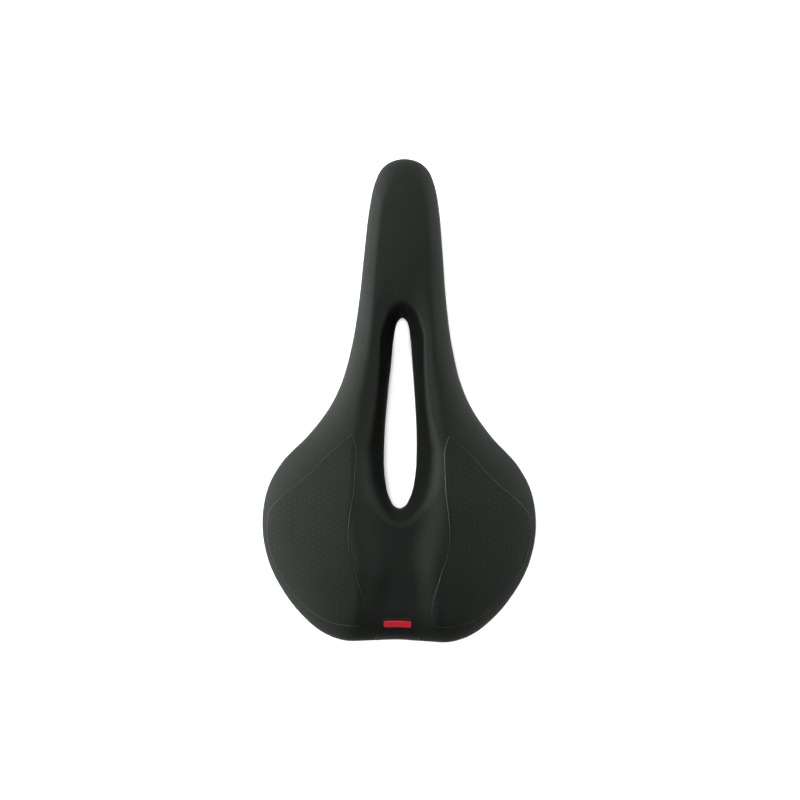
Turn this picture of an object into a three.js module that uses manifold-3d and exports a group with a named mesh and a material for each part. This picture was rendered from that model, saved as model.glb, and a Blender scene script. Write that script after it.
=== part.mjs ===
// Bicycle saddle with a pressure-relief cut-out, on a bent steel rail.
// Millimetres, +Z up, +Y towards the nose, +X to the rider's right. While the pieces are made, y is measured
// from the tail; the finished group is moved so that the origin lies under the middle of the saddle.
//
// The soft pieces, the shell and the trim are rings round the cut-out. Each ring is a row of sections: a section
// starts square to the cut-out's outline, ends square to the outer outline, and carries one closed profile.

import * as THREE from 'three';
import { mergeVertices } from 'three/addons/utils/BufferGeometryUtils.js';
import Module from 'manifold-3d';

const wasm = await Module();
wasm.setup();

// Overall form
const LENGTH = 270;
const WIDTH = 153.4;
const SEAT_HEIGHT = 56; // underside of the rail to the crest, without the tail's rise
const TAIL_RISE = 4; // the crest's highest place over the sit bones, above the seat height
const WAIST_DROP = 5;
const NOSE_DROP = 7;
const WING_FALL = 18; // how far the crown falls from the middle to the widest point
const EDGE_REACH = 22; // how far in the rounding of the outer edge reaches, at most
const EDGE_DROP = 12; // height of that rounding, at most
const SKIRT_TUCK = 1.2; // how far the lower edge of the cover tucks in
const RIM_DEPTH = 13; // rim of the shell below its underside, at the nose

// Cut-out and channel
const CUTOUT_START = 73.8; // from the tail
const CUTOUT_FRONT = 89; // from the nose
const CUTOUT_WIDTH = 18.3;
const HANDLE_LIMIT = 45; // distance past which the handles of a section's curve grow no longer
const LIP_REACH = 15; // how far out the rounded lip of the cut-out reaches, at most
const LIP_DROP = 16; // height of that lip
const CHANNEL_WIDTH = 42; // between the middles of its sloping walls
const CHANNEL_SLOPE = 16; // width of one sloping wall, beside the cut-out
const CHANNEL_DEPTH = 5.5;

// Layers, from the outside in
const SKIN = 1.2;
const CLEARANCE = 0.3; // between neighbouring pieces
const FOAM_DEPTH = 18; // foam over the shell along the middle, before the channel
const FOAM_TAPER = 8; // less foam at the widest point
const SIDE_FOAM = 1.2; // foam between the cover and the shell's outer wall
const LIP_FOAM = 2; // foam between the cover and the shell's edge in the cut-out
const SHELL = 3;
const SHELL_WALL = 2.5;
const SHELL_BEND = 5.5; // outer radius between the top of the shell and its wall
const FLANGE_WIDTH = 5.5;
const FLANGE_HEIGHT = 2.2;
const HEM = 5; // how far the cover is turned under the shell
const RIB_DEPTH = 4;
const RIB_THICKNESS = 2.2;
const ROOT = 0.5; // how far ribs, bosses and the cradle sink into the shell plate

// Trim ring on the underside of the cut-out
const TRIM_THICKNESS = 1.6;
const TRIM_INSET = 0.6;
const TRIM_RIM = 2.4;

// Rail
const RAIL_DIAMETER = 7;
const RAIL_SPACING = 44; // between the centres of the two straight runs
const RAIL_NOSE_SPACING = 16;
const RAIL_BEND = 25;
const CLAMP_START = 84; // straight run for the seat post clamp, from the tail
const CLAMP_FRONT = 102; // its front end, from the nose
const RAIL_FRONT = 22; // centre line of the bend under the nose, from the nose
const RAIL_NOSE_RUN = 26; // level run behind that bend
const RAIL_END = 24; // rear ends, from the tail
const RAIL_END_RUN = 23; // run inside and just before the bracket
const RAIL_END_EDGE = 41.7; // rear ends, from the side of the saddle
const RAIL_END_TURN = 4; // how far the end runs splay
const RAIL_END_RISE = 4;

// Brackets, clip and screws
const SOCKET_ROOF = 1.5; // bracket over the rail end
const BRACKET_WALL = 2.5;
const BRACKET_LENGTH = 22;
const EAR_THICKNESS = 6.5;
const EAR_GAP = 0.8; // between a screw head and the barrel of the bracket
const EAR_MARGIN = 4.2; // ears of the bracket past the screws
const EAR_INSET = 3.7; // ends of the ears from the ends of the barrel
const BOSS_RADIUS = 3.4;
const BOSS_DEPTH = 4;
const CLIP_FLOOR = 2.4;
const CLIP_LENGTH = 28;
const CLIP_HALF_WIDTH = 10;
const CRADLE_MARGIN = 2.5; // cradle of the shell past the clip, all round
const SCREW_RADIUS = 1.75;
const SCREW_HEAD_RADIUS = 3.4;
const SCREW_HEAD_HEIGHT = 2.2;
const SCREW_KEY = 1.5; // half width of the hexagon socket
const SCREW_KEY_DEPTH = 1.3;
const SCREW_BITE = 1.6; // how far a screw goes into the shell plate
const NOSE_SCREW_SPACING = 11;
const CORNER = 3; // rounding of the corners of brackets and clip, seen from below

// Panels, badge and inserts
const PANEL_CUT = 5; // how far below the outer face the cutting bodies start
const TOOL_HEIGHT = 30; // overrun of every cutting body
const BADGE_LENGTH = 14;
const BADGE_WIDTH = 24;
const BAR_LENGTH = 4;
const BAR_WIDTH = 15.2;
const BAR_START = 8.2; // from the tail
const BAR_CORNER = 1.4;
const INSERT_LENGTH = 54;
const INSERT_WIDTH = 30;
const INSERT_DEPTH = 5;
const INSERT_EDGE = 28.1; // middle of an insert from the side of the saddle
const INSERT_PLACE = 61.2; // and from the tail

// Counts
const SECTIONS = 42;
const RAIL_SIDES = 12;
const BEND_STEPS = 5;
const NOSE_STEPS = 6;
const SCREW_SIDES = 12;
const HEXAGON_SIDES = 6;
const INSERT_SIDES = 20;
const CORNER_STEPS = 3;
const MIDDLE_ROWS = 4;
const OUTLINE_STEPS = 1600; // for lengths along the two outlines
const CURVE_STEPS = 60; // for lengths along a section
const ROW_STEPS = 50; // steps per row that a normal is taken over
const TURN_STEPS = 20; // and steps per section
const ROUNDNESS = 2.3; // power of the rounded outer edge: 2 is an ellipse
const LIP_ROUNDNESS = 1.6; // power of the rounded lip of the cut-out

const railRadius = RAIL_DIAMETER / 2;
const railEndSpread = WIDTH / 2 - RAIL_END_EDGE; // rear ends, from the middle
const shellInset = SKIRT_TUCK + SKIN + CLEARANCE + SIDE_FOAM + CLEARANCE;
const shellInner = SKIN + CLEARANCE + LIP_FOAM + CLEARANCE;
const cutoutLength = LENGTH - CUTOUT_START - CUTOUT_FRONT;
const clampEnd = LENGTH - CLAMP_FRONT;
const railNose = LENGTH - RAIL_FRONT;
const insertSide = WIDTH / 2 - INSERT_EDGE;

// Half outlines, from the tail to the nose: [share of half the width, share of the length]
const outerShares = [
  [0, 0.0039], [0.22, 0.0005], [0.391, 0.0001], [0.55, 0.016], [0.714, 0.0538], [0.854, 0.1046], [0.952, 0.161],
  [1, 0.236], [0.965, 0.3113], [0.858, 0.3677], [0.67, 0.4241], [0.525, 0.4801], [0.433, 0.5365],
  [0.365, 0.6119], [0.317, 0.7058], [0.287, 0.7996], [0.254, 0.8935], [0.218, 0.9469], [0.168, 0.9781],
  [0.1, 0.9937], [0, 1],
];
const cutoutShares = [
  [0, 0], [0.361, 0.0149], [0.607, 0.0513], [0.798, 0.0989], [0.962, 0.1931], [1, 0.2873], [0.962, 0.4291],
  [0.847, 0.5709], [0.656, 0.7593], [0.519, 0.8881], [0.35, 0.9683], [0, 1],
];
// One wing panel: [share of half the width, share of the length], from its front corner back along the inner line
const panelShares = [
  [0.365, 0.424], [0.338, 0.421], [0.322, 0.396], [0.331, 0.32], [0.366, 0.23], [0.34, 0.172], [0.287, 0.117],
  [0.248, 0.065], [0.29, 0.034], [0.391, 0.035], [0.522, 0.044], [0.645, 0.064], [0.847, 0.131], [0.945, 0.193],
  [0.957, 0.258], [0.868, 0.292], [0.632, 0.35],
];
// The badge on the tail: [share of half its width, share of its length]
const badgeShares = [[0.56, 1], [0.66, 0.93], [0.88, 0.45], [1, 0.1], [1, -0.6], [-1, -0.6], [-1, 0.1],
  [-0.88, 0.45], [-0.66, 0.93], [-0.56, 1]];

// Shares of a section's length from the cut-out to the edge
const handleShare = 0.35; // handles of its curve, seen from above
const edgeShare = 0.6; // the most that the rounded outer edge may take
const lipShare = 0.3; // and the rounded lip of the cut-out
const ribShare = 0.85; // how much of the cut-out's length the ribs beside it run along

// Shares along the length: [place from the tail, share of the named size]
const tailRiseShares = [[0, 0], [0.07, 0.55], [0.16, 1], [0.27, 0.75], [0.42, 0], [1, 0]];
const waistDropShares = [[0, 0], [0.25, 0], [0.5, 0.9], [0.62, 1], [1, 1]];
const noseDropShares = [[0, 0], [0.8, 0], [0.9, 0.25], [1, 1]];
const edgeReachShares = [[0, 0.8], [0.1, 1], [0.24, 0.73], [0.36, 0.8], [0.5, 1], [0.65, 0.75],
  [0.8, 0.55], [1, 0.6]];
const edgeDropShares = [[0, 0.78], [0.1, 0.7], [0.24, 0.36], [0.36, 0.52], [0.5, 1], [0.65, 0.9],
  [0.8, 0.7], [1, 0.72]];
const rimDepthShares = [[0, 0.36], [0.24, 0.36], [0.45, 0.5], [0.75, 0.95], [0.9, 1], [1, 0.65]];
const foamShares = [[0, 0.9], [0.24, 1], [0.5, 0.97], [0.67, 0.87], [0.8, 0.65], [1, 0.56]];
const channelWidthShares = [[0, 0.9], [0.06, 0.8], [0.1, 0.71], [0.14, 0.69], [0.18, 0.74], [0.23, 0.86],
  [0.28, 1], [0.36, 0.98], [0.46, 0.84], [0.56, 0.7], [0.67, 0.56], [0.74, 0.42], [1, 0.3]];
const channelDepthShares = [[0, 0.25], [0.1, 0.6], [0.18, 0.85], [0.28, 0.75], [0.5, 0.7], [0.62, 0.5],
  [0.68, 0.3], [0.73, 0.1], [0.78, 0], [1, 0]];
const channelSlopeShares = [[0, 1.1], [0.2, 1.2], [0.3, 1], [0.5, 1], [0.65, 0.7], [1, 0.6]];
const lipReachShares = [[0, 0.6], [0.27, 0.6], [0.34, 1], [0.52, 1], [0.6, 0.85], [0.67, 0.6], [1, 0.6]];
// Which place on the cut-out's half outline faces which place on the outer half outline, both by length
const facingShares = [[0, 0], [0.17, 0.06], [0.33, 0.14], [0.5, 0.36], [0.63, 0.6], [0.76, 0.82], [0.9, 0.95], [1, 1]];
// Where the sections stand along half the outer outline, closer where it turns
const sectionShares = [[0, 0], [0.14, 0.09], [0.52, 0.45], [0.66, 0.6], [0.9, 0.95], [1, 1]];
// Rows of the rounded edges and the middle of the cover: see skinPoint
const skinRowShares = [0, 1, 1.5, 2, 2.5, 3, 3.35, 3.7, 4, 5];

/** A smooth curve through rows of [place, value] that never overshoots a row. */
function smoothTable(rows) {
  const steps = rows.slice(1).map(([place, value], i) => (value - rows[i][1]) / (place - rows[i][0]));
  const slopes = rows.map((row, i) => {
    const before = steps[i - 1] ?? steps[i];
    const after = steps[i] ?? before;
    return before * after <= 0 ? 0 : (2 * before * after) / (before + after);
  });
  return (place) => {
    if (place <= rows[0][0]) return rows[0][1];
    const next = rows.findIndex((row) => row[0] > place);
    if (next < 0) return rows[rows.length - 1][1];
    const [place0, value0] = rows[next - 1];
    const [place1, value1] = rows[next];
    const span = place1 - place0;
    const s = (place - place0) / span;
    const bulge0 = s * (1 - s) * (1 - s) * span * slopes[next - 1];
    const bulge1 = s * s * (s - 1) * span * slopes[next];
    return value0 + (value1 - value0) * s * s * (3 - 2 * s) + bulge0 + bulge1;
  };
}

const tailRise = smoothTable(tailRiseShares);
const waistDrop = smoothTable(waistDropShares);
const noseDrop = smoothTable(noseDropShares);
const edgeReach = smoothTable(edgeReachShares);
const edgeDrop = smoothTable(edgeDropShares);
const rimDepth = smoothTable(rimDepthShares);
const foamShare = smoothTable(foamShares);
const channelWidth = smoothTable(channelWidthShares);
const channelDepth = smoothTable(channelDepthShares);
const channelSlope = smoothTable(channelSlopeShares);
const lipReach = smoothTable(lipReachShares);
const facing = smoothTable(facingShares);
const sectionPlace = smoothTable(sectionShares);

/** A closed smooth outline through half an outline and its mirror image. */
function closedOutline(half) {
  const right = half.map(([x, y]) => new THREE.Vector3(x, y, 0));
  const left = right.slice(1, -1).reverse().map((p) => new THREE.Vector3(-p.x, p.y, 0));
  const curve = new THREE.CatmullRomCurve3([...right, ...left], true, 'centripetal');
  curve.arcLengthDivisions = OUTLINE_STEPS;
  return curve;
}

const outerOutline = closedOutline(outerShares.map(([x, y]) => [(x * WIDTH) / 2, y * LENGTH]));
const cutoutOutline = closedOutline(
  cutoutShares.map(([x, y]) => [(x * CUTOUT_WIDTH) / 2, CUTOUT_START + y * cutoutLength]),
);

/** Height of the middle of the cover at y, before the channel and the rounded edges. */
function crestHeight(y) {
  const at = y / LENGTH;
  return SEAT_HEIGHT + TAIL_RISE * tailRise(at) - WAIST_DROP * waistDrop(at) - NOSE_DROP * noseDrop(at);
}

function crownFall(x) {
  return WING_FALL * ((2 * x) / WIDTH) ** 2;
}

/** How deep the central channel lies at a place. */
function channelDrop(x, y) {
  const half = (CHANNEL_WIDTH / 2) * channelWidth(y / LENGTH);
  const slope = CHANNEL_SLOPE * channelSlope(y / LENGTH);
  const s = THREE.MathUtils.clamp((Math.abs(x) - half) / slope + 1 / 2, 0, 1);
  return CHANNEL_DEPTH * channelDepth(y / LENGTH) * (1 - s * s * (3 - 2 * s));
}

/** Drop of a rounded edge: full at the edge, none at reach. run is 1 at the edge and 0 at reach. */
function roundedDrop(run, drop, power) {
  return drop * (1 - (1 - run ** power) ** (1 / power));
}

/** Foam between the cover and the shell, before the channel: it thins out towards the sides. */
function foamThickness(x, y) {
  return FOAM_DEPTH * foamShare(y / LENGTH) - FOAM_TAPER * ((2 * x) / WIDTH) ** 2;
}

function shellTop(x, y) {
  return crestHeight(y) - crownFall(x) - SKIN - 2 * CLEARANCE - foamThickness(x, y);
}

function shellUnder(x, y) {
  return shellTop(x, y) - SHELL;
}

/** One section of the ring: turn runs from 0 at the tail over the right side to a half at the nose, and on to 1. */
function makeSection(turn) {
  const wrapped = turn - Math.floor(turn);
  const mirrored = wrapped > 1 / 2;
  const share = 2 * (mirrored ? 1 - wrapped : wrapped);
  const side = mirrored ? -1 : 1;
  const outerShare = sectionPlace(share);
  const place = (outline, at) => {
    const point = outline.getPointAt(at / 2);
    const tangent = outline.getTangentAt(at / 2);
    const out = new THREE.Vector2(tangent.y * side, -tangent.x).normalize();
    return { point: new THREE.Vector2(point.x * side, point.y), out };
  };
  const outer = place(outerOutline, outerShare);
  const inner = place(cutoutOutline, facing(outerShare));
  const handle = Math.min(inner.point.distanceTo(outer.point), HANDLE_LIMIT) * handleShare;
  const curve = new THREE.CubicBezierCurve(
    inner.point,
    inner.point.clone().addScaledVector(inner.out, handle),
    outer.point.clone().addScaledVector(outer.out, -handle),
    outer.point,
  );
  curve.arcLengthDivisions = CURVE_STEPS;
  const span = curve.getLength();
  const at = outer.point.y / LENGTH;
  const section = { outer, inner, span };
  section.fromInner = (distance) => curve.getPointAt(distance / span);
  section.fromOuter = (distance) => curve.getPointAt(1 - distance / span);
  section.reach = Math.min(EDGE_REACH * edgeReach(at), span * edgeShare);
  section.lip = Math.min(LIP_REACH * lipReach(inner.point.y / LENGTH), span * lipShare);
  section.drop = EDGE_DROP * edgeDrop(at);
  const rimPoint = section.fromOuter(shellInset);
  section.rim = shellUnder(rimPoint.x, rimPoint.y) - RIM_DEPTH * rimDepth(at);
  section.innerBottom = shellUnder(inner.point.x, inner.point.y) - CLEARANCE - SKIN;
  section.outerBottom = section.rim - CLEARANCE - SKIN;
  return section;
}

/**
 * A point of the cover's outer face. row 0 to 1 goes up the wall of the cut-out, 1 to 2 over its lip, 2 to 3 across
 * the middle, 3 to 4 over the outer edge and 4 to 5 down the skirt.
 */
function skinPoint(section, row) {
  const height = (p) => crestHeight(p.y) - crownFall(p.x) - channelDrop(p.x, p.y);
  const at3 = (p, z) => new THREE.Vector3(p.x, p.y, z);
  if (row <= 1) {
    const top = height(section.inner.point) - LIP_DROP;
    return at3(section.inner.point, THREE.MathUtils.lerp(section.innerBottom, top, row));
  }
  if (row <= 2) {
    const angle = ((row - 1) * Math.PI) / 2;
    const p = section.fromInner(section.lip * (1 - Math.cos(angle)));
    return at3(p, height(p) - roundedDrop(Math.cos(angle), LIP_DROP, LIP_ROUNDNESS));
  }
  if (row <= 3) {
    const p = section.fromInner(THREE.MathUtils.lerp(section.lip, section.span - section.reach, row - 2));
    return at3(p, height(p));
  }
  if (row <= 4) {
    const angle = ((row - 3) * Math.PI) / 2;
    const p = section.fromOuter(section.reach * (1 - Math.sin(angle)));
    return at3(p, height(p) - roundedDrop(Math.sin(angle), section.drop, ROUNDNESS));
  }
  const down = row - 4;
  const p = section.outer.point.clone().addScaledVector(section.outer.out, -SKIRT_TUCK * down * down);
  const top = height(section.outer.point) - section.drop;
  return at3(p, THREE.MathUtils.lerp(top, section.outerBottom, down));
}

const turnStep = 1 / (SECTIONS * TURN_STEPS);
const sections = Array.from({ length: SECTIONS }, (_, i) => {
  const turn = i / SECTIONS;
  const section = makeSection(turn);
  section.before = makeSection(turn - turnStep);
  section.after = makeSection(turn + turnStep);
  return section;
});

/** The cover's outer face moved in by a depth, along its own normal. */
function insetSkin(section, row, depth) {
  const point = skinPoint(section, row);
  const rowStep = 1 / ROW_STEPS;
  const across = skinPoint(section, Math.min(row + rowStep, 5)).sub(skinPoint(section, Math.max(row - rowStep, 0)));
  const around = skinPoint(section.after, row).sub(skinPoint(section.before, row));
  const normal = across.cross(around).normalize();
  const moved = point.addScaledVector(normal, -depth);
  if (row === 0) moved.z = section.innerBottom + depth;
  if (row === 5) moved.z = section.outerBottom + depth;
  return moved;
}

/**
 * A closed body from a row of closed profiles, each a list of as many points, once round the cut-out. The rows run
 * outwards up to the turning point and back from there, and every four-sided field is split along the same
 * diagonal in all layers, mirrored from side to side, so that neighbouring layers stay parallel.
 */
function ringGeometry(turning, profileOf) {
  const profiles = sections.map(profileOf);
  const count = profiles[0].length;
  const index = [];
  for (let i = 0; i < SECTIONS; i += 1) {
    const next = (i + 1) % SECTIONS;
    for (let j = 0; j < count; j += 1) {
      const up = (j + 1) % count;
      const [a, b, c, d] = [i * count + j, i * count + up, next * count + j, next * count + up];
      const other = j >= turning !== i >= SECTIONS / 2;
      index.push(...(other ? [a, b, d, a, d, c] : [a, b, c, b, d, c]));
    }
  }
  return indexedGeometry(profiles.flat(), index);
}

function indexedGeometry(points, index) {
  const geometry = new THREE.BufferGeometry();
  geometry.setAttribute('position', new THREE.Float32BufferAttribute(points.flatMap((p) => [p.x, p.y, p.z]), 3));
  geometry.setIndex(index);
  return geometry;
}

/** A geometry as a solid that can be joined and cut. */
function solid(geometry) {
  const bare = geometry.clone();
  bare.deleteAttribute('normal');
  bare.deleteAttribute('uv');
  const merged = mergeVertices(bare);
  return new wasm.Manifold(
    new wasm.Mesh({
      numProp: 3,
      vertProperties: new Float32Array(merged.attributes.position.array),
      triVerts: new Uint32Array(merged.index.array),
    }),
  );
}

/** A solid as a geometry again. */
function geometryOf(body) {
  const mesh = body.getMesh();
  const geometry = new THREE.BufferGeometry();
  geometry.setAttribute('position', new THREE.BufferAttribute(new Float32Array(mesh.vertProperties), 3));
  geometry.setIndex(new THREE.BufferAttribute(new Uint32Array(mesh.triVerts), 1));
  geometry.computeVertexNormals();
  return geometry;
}

/** The top path of the shell, moved out by a margin: up from its inner edge, across, and down to the rim. */
function shellTopPath(section, margin) {
  const points = [];
  const raised = (p, base, z) => points.push(new THREE.Vector3(p.x, p.y, base + z));
  const top = (p) => shellTop(p.x, p.y);
  const innerEdge = section.fromInner(shellInner - margin);
  raised(innerEdge, shellUnder(innerEdge.x, innerEdge.y), 0);
  raised(innerEdge, top(innerEdge), margin);
  for (const p of middlePoints(section)) raised(p, top(p), margin);
  const corner = 1 - Math.SQRT1_2;
  const bendMid = section.fromOuter(shellInset + SHELL_BEND * corner - margin * Math.SQRT1_2);
  raised(bendMid, top(bendMid), -SHELL_BEND * corner + margin * Math.SQRT1_2);
  const wall = section.fromOuter(shellInset - margin);
  raised(wall, top(wall), -SHELL_BEND);
  raised(wall, section.rim, 0);
  return points;
}

/** Places between the inner edge of the shell and the start of its outer bend, the same for all flat layers. */
function middlePoints(section) {
  const start = shellInner + LIP_FOAM;
  const end = section.span - shellInset - SHELL_BEND;
  return Array.from({ length: MIDDLE_ROWS }, (_, k) =>
    section.fromInner(THREE.MathUtils.lerp(start, end, k / (MIDDLE_ROWS - 1))),
  );
}

/** A ring that follows the underside of the shell, from the inner edge's inset to the outer wall's. */
function underRing(topMargin, bottomMargin, innerInset, outerInset) {
  return solid(
    ringGeometry(MIDDLE_ROWS + 2, (section) => {
      const places = [section.fromInner(innerInset), ...middlePoints(section), section.fromOuter(outerInset)];
      const at = (margin) => places.map((p) => new THREE.Vector3(p.x, p.y, shellUnder(p.x, p.y) + margin));
      return [...at(topMargin), ...at(bottomMargin).reverse()];
    }),
  );
}

/** The whole cover in one: skin, the hem under the shell's rim and the hem in the cut-out. */
function wholeCover() {
  return solid(
    ringGeometry(skinRowShares.length + 1, (section) => {
      const innerHem = (margin) => {
        const p = section.fromInner(HEM);
        return new THREE.Vector3(p.x, p.y, shellUnder(p.x, p.y) - margin);
      };
      const outerHem = (z) => {
        const p = section.fromOuter(SKIRT_TUCK + HEM);
        return new THREE.Vector3(p.x, p.y, z);
      };
      return [
        innerHem(CLEARANCE + SKIN),
        ...skinRowShares.map((row) => skinPoint(section, row)),
        outerHem(section.outerBottom),
        outerHem(section.outerBottom + SKIN),
        ...skinRowShares.map((row) => insetSkin(section, row, SKIN)).reverse(),
        innerHem(CLEARANCE),
      ];
    }),
  );
}

function wholeFoam() {
  return solid(
    ringGeometry(skinRowShares.length, (section) => [
      ...skinRowShares.map((row) => insetSkin(section, row, SKIN + CLEARANCE)),
      ...shellTopPath(section, CLEARANCE).reverse(),
    ]),
  );
}

const shellTopRows = MIDDLE_ROWS + 5;

/** The bare shell: plate, outer wall and the flange along the rim. */
function shellBody() {
  return solid(
    ringGeometry(shellTopRows, (section) => {
      const flangeEnd = section.fromOuter(shellInset + FLANGE_WIDTH);
      const wall = section.fromOuter(shellInset + SHELL_WALL);
      const flangeTop = section.rim + FLANGE_HEIGHT;
      return [
        ...shellTopPath(section, 0),
        new THREE.Vector3(flangeEnd.x, flangeEnd.y, section.rim),
        new THREE.Vector3(flangeEnd.x, flangeEnd.y, flangeTop),
        new THREE.Vector3(wall.x, wall.y, flangeTop),
        new THREE.Vector3(wall.x, wall.y, shellUnder(wall.x, wall.y)),
        ...middlePoints(section).reverse().map((p) => new THREE.Vector3(p.x, p.y, shellUnder(p.x, p.y))),
      ];
    }),
  );
}

function trimBody() {
  return solid(
    ringGeometry(1, (section) => {
      const at = (distance, margin) => {
        const p = section.fromInner(distance);
        return new THREE.Vector3(p.x, p.y, shellUnder(p.x, p.y) - margin);
      };
      const hemBottom = CLEARANCE + SKIN + CLEARANCE;
      const step = HEM + CLEARANCE;
      return [
        at(TRIM_INSET, hemBottom + TRIM_THICKNESS),
        at(TRIM_INSET, hemBottom),
        at(step, hemBottom),
        at(step, CLEARANCE),
        at(step + TRIM_RIM, CLEARANCE),
        at(step + TRIM_RIM, hemBottom),
        at(step, hemBottom + TRIM_THICKNESS),
      ];
    }),
  );
}

/** Points along straight runs joined by round bends. */
function bentPath(corners) {
  const points = [corners[0].at];
  corners.slice(1, -1).forEach(({ at, bend, steps }, i) => {
    const into = at.clone().sub(corners[i].at).normalize();
    const out = corners[i + 2].at.clone().sub(at).normalize();
    const turn = into.angleTo(out);
    const inward = out.clone().addScaledVector(into, -Math.cos(turn)).normalize();
    const start = at.clone().addScaledVector(into, -bend * Math.tan(turn / 2));
    for (let k = 0; k <= steps; k += 1) {
      const angle = (turn * k) / steps;
      const point = start.clone().addScaledVector(into, bend * Math.sin(angle));
      points.push(point.addScaledVector(inward, bend * (1 - Math.cos(angle))));
    }
  });
  points.push(corners[corners.length - 1].at);
  return points.filter((p, i) => i === 0 || p.distanceTo(points[i - 1]) > CLEARANCE);
}

/** A rod along a path. Its sides stay level, so that it has a flat face below and above on the level runs. */
function rodGeometry(path, radius) {
  const points = [];
  const index = [];
  const corner = radius / Math.cos(Math.PI / RAIL_SIDES);
  path.forEach((centre, i) => {
    const before = path[Math.max(i - 1, 0)];
    const after = path[Math.min(i + 1, path.length - 1)];
    const tangent = after.clone().sub(before).normalize();
    const side = tangent.clone().cross(new THREE.Vector3(0, 0, 1)).normalize();
    const up = side.clone().cross(tangent);
    for (let k = 0; k < RAIL_SIDES; k += 1) {
      const angle = ((2 * k + 1) * Math.PI) / RAIL_SIDES;
      const point = centre.clone().addScaledVector(side, corner * Math.cos(angle));
      points.push(point.addScaledVector(up, corner * Math.sin(angle)));
    }
  });
  for (let i = 0; i + 1 < path.length; i += 1) {
    for (let k = 0; k < RAIL_SIDES; k += 1) {
      const next = (k + 1) % RAIL_SIDES;
      const [a, b] = [i * RAIL_SIDES + k, i * RAIL_SIDES + next];
      index.push(a, a + RAIL_SIDES, b, b, a + RAIL_SIDES, b + RAIL_SIDES);
    }
  }
  const last = (path.length - 1) * RAIL_SIDES;
  for (let k = 1; k + 1 < RAIL_SIDES; k += 1) {
    index.push(0, k, k + 1);
    index.push(last, last + k + 1, last + k);
  }
  return indexedGeometry(points, index);
}

const noseRailHeight = shellUnder(0, railNose) - CLEARANCE - railRadius;
const railEndHeight = shellUnder(railEndSpread, RAIL_END) - SOCKET_ROOF - CLEARANCE - railRadius;

/** The centre line of the rail, with its ends lengthened by an overrun. */
function railPath(overrun) {
  const half = RAIL_SPACING / 2;
  const noseHalf = RAIL_NOSE_SPACING / 2;
  const end = new THREE.Vector3(railEndSpread, RAIL_END, railEndHeight);
  const knee = new THREE.Vector3(
    railEndSpread - RAIL_END_TURN,
    RAIL_END + RAIL_END_RUN,
    railEndHeight - RAIL_END_RISE,
  );
  end.addScaledVector(end.clone().sub(knee).normalize(), overrun);
  const right = [
    { at: end },
    { at: knee, bend: RAIL_BEND, steps: BEND_STEPS },
    { at: new THREE.Vector3(half, CLAMP_START, railRadius), bend: RAIL_BEND, steps: BEND_STEPS },
    { at: new THREE.Vector3(half, clampEnd, railRadius), bend: RAIL_BEND, steps: BEND_STEPS },
    {
      at: new THREE.Vector3(noseHalf, railNose - RAIL_NOSE_RUN, noseRailHeight),
      bend: RAIL_BEND,
      steps: BEND_STEPS,
    },
    { at: new THREE.Vector3(noseHalf, railNose, noseRailHeight), bend: noseHalf, steps: NOSE_STEPS },
  ];
  const left = right.map((c) => ({ ...c, at: new THREE.Vector3(-c.at.x, c.at.y, c.at.z) })).reverse();
  return bentPath([...right, ...left]);
}

const railBody = solid(rodGeometry(railPath(0), railRadius));
const railSpace = solid(rodGeometry(railPath(CLEARANCE), railRadius + CLEARANCE));

/** An upright body from an outline, between two heights. */
function upright(points, bottom, top) {
  const shape = new THREE.Shape(points.map(([x, y]) => new THREE.Vector2(x, y)));
  const geometry = new THREE.ExtrudeGeometry(shape, { depth: top - bottom, bevelEnabled: false });
  geometry.translate(0, 0, bottom);
  return solid(geometry);
}

/** The corner points of a rectangle with rounded corners, turned about its middle. */
function roundedBlock(centre, halfWidth, halfLength, corner, turn) {
  const points = [];
  [[1, 1], [-1, 1], [-1, -1], [1, -1]].forEach(([sx, sy], quarter) => {
    for (let k = 0; k <= CORNER_STEPS; k += 1) {
      const angle = ((quarter + k / CORNER_STEPS) * Math.PI) / 2;
      const x = sx * (halfWidth - corner) + corner * Math.cos(angle);
      const y = sy * (halfLength - corner) + corner * Math.sin(angle);
      const p = new THREE.Vector2(x, y).rotateAround(new THREE.Vector2(0, 0), turn);
      points.push([p.x + centre.x, p.y + centre.y]);
    }
  });
  return points;
}

function pillar(centre, radius, bottom, top) {
  const geometry = new THREE.CylinderGeometry(radius, radius, top - bottom, SCREW_SIDES);
  geometry.rotateX(Math.PI / 2);
  geometry.translate(centre.x, centre.y, (top + bottom) / 2);
  return solid(geometry);
}

/** A cap screw, head down, with a hexagon socket. */
function screwBody({ centre, seat, tip }) {
  const bottom = seat - SCREW_HEAD_HEIGHT;
  const chamfer = SCREW_HEAD_HEIGHT / 4;
  const profile = [
    [0, bottom], [SCREW_HEAD_RADIUS - chamfer, bottom], [SCREW_HEAD_RADIUS, bottom + chamfer],
    [SCREW_HEAD_RADIUS, seat], [SCREW_RADIUS, seat], [SCREW_RADIUS, tip - SCREW_RADIUS / 2],
    [SCREW_RADIUS / 2, tip], [0, tip],
  ].map(([x, y]) => new THREE.Vector2(x, y));
  const geometry = new THREE.LatheGeometry(profile, SCREW_SIDES);
  geometry.rotateX(Math.PI / 2);
  geometry.translate(centre.x, centre.y, 0);
  const key = new THREE.CylinderGeometry(SCREW_KEY, SCREW_KEY, 2 * SCREW_KEY_DEPTH, HEXAGON_SIDES);
  key.rotateX(Math.PI / 2);
  key.translate(centre.x, centre.y, bottom);
  return solid(geometry).subtract(solid(key));
}

/** The hole a screw needs in the piece that it passes through, and in the shell. */
function screwHole({ centre, tip }) {
  return pillar(centre, SCREW_RADIUS + CLEARANCE, tip - TOOL_HEIGHT, tip + CLEARANCE);
}

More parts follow.
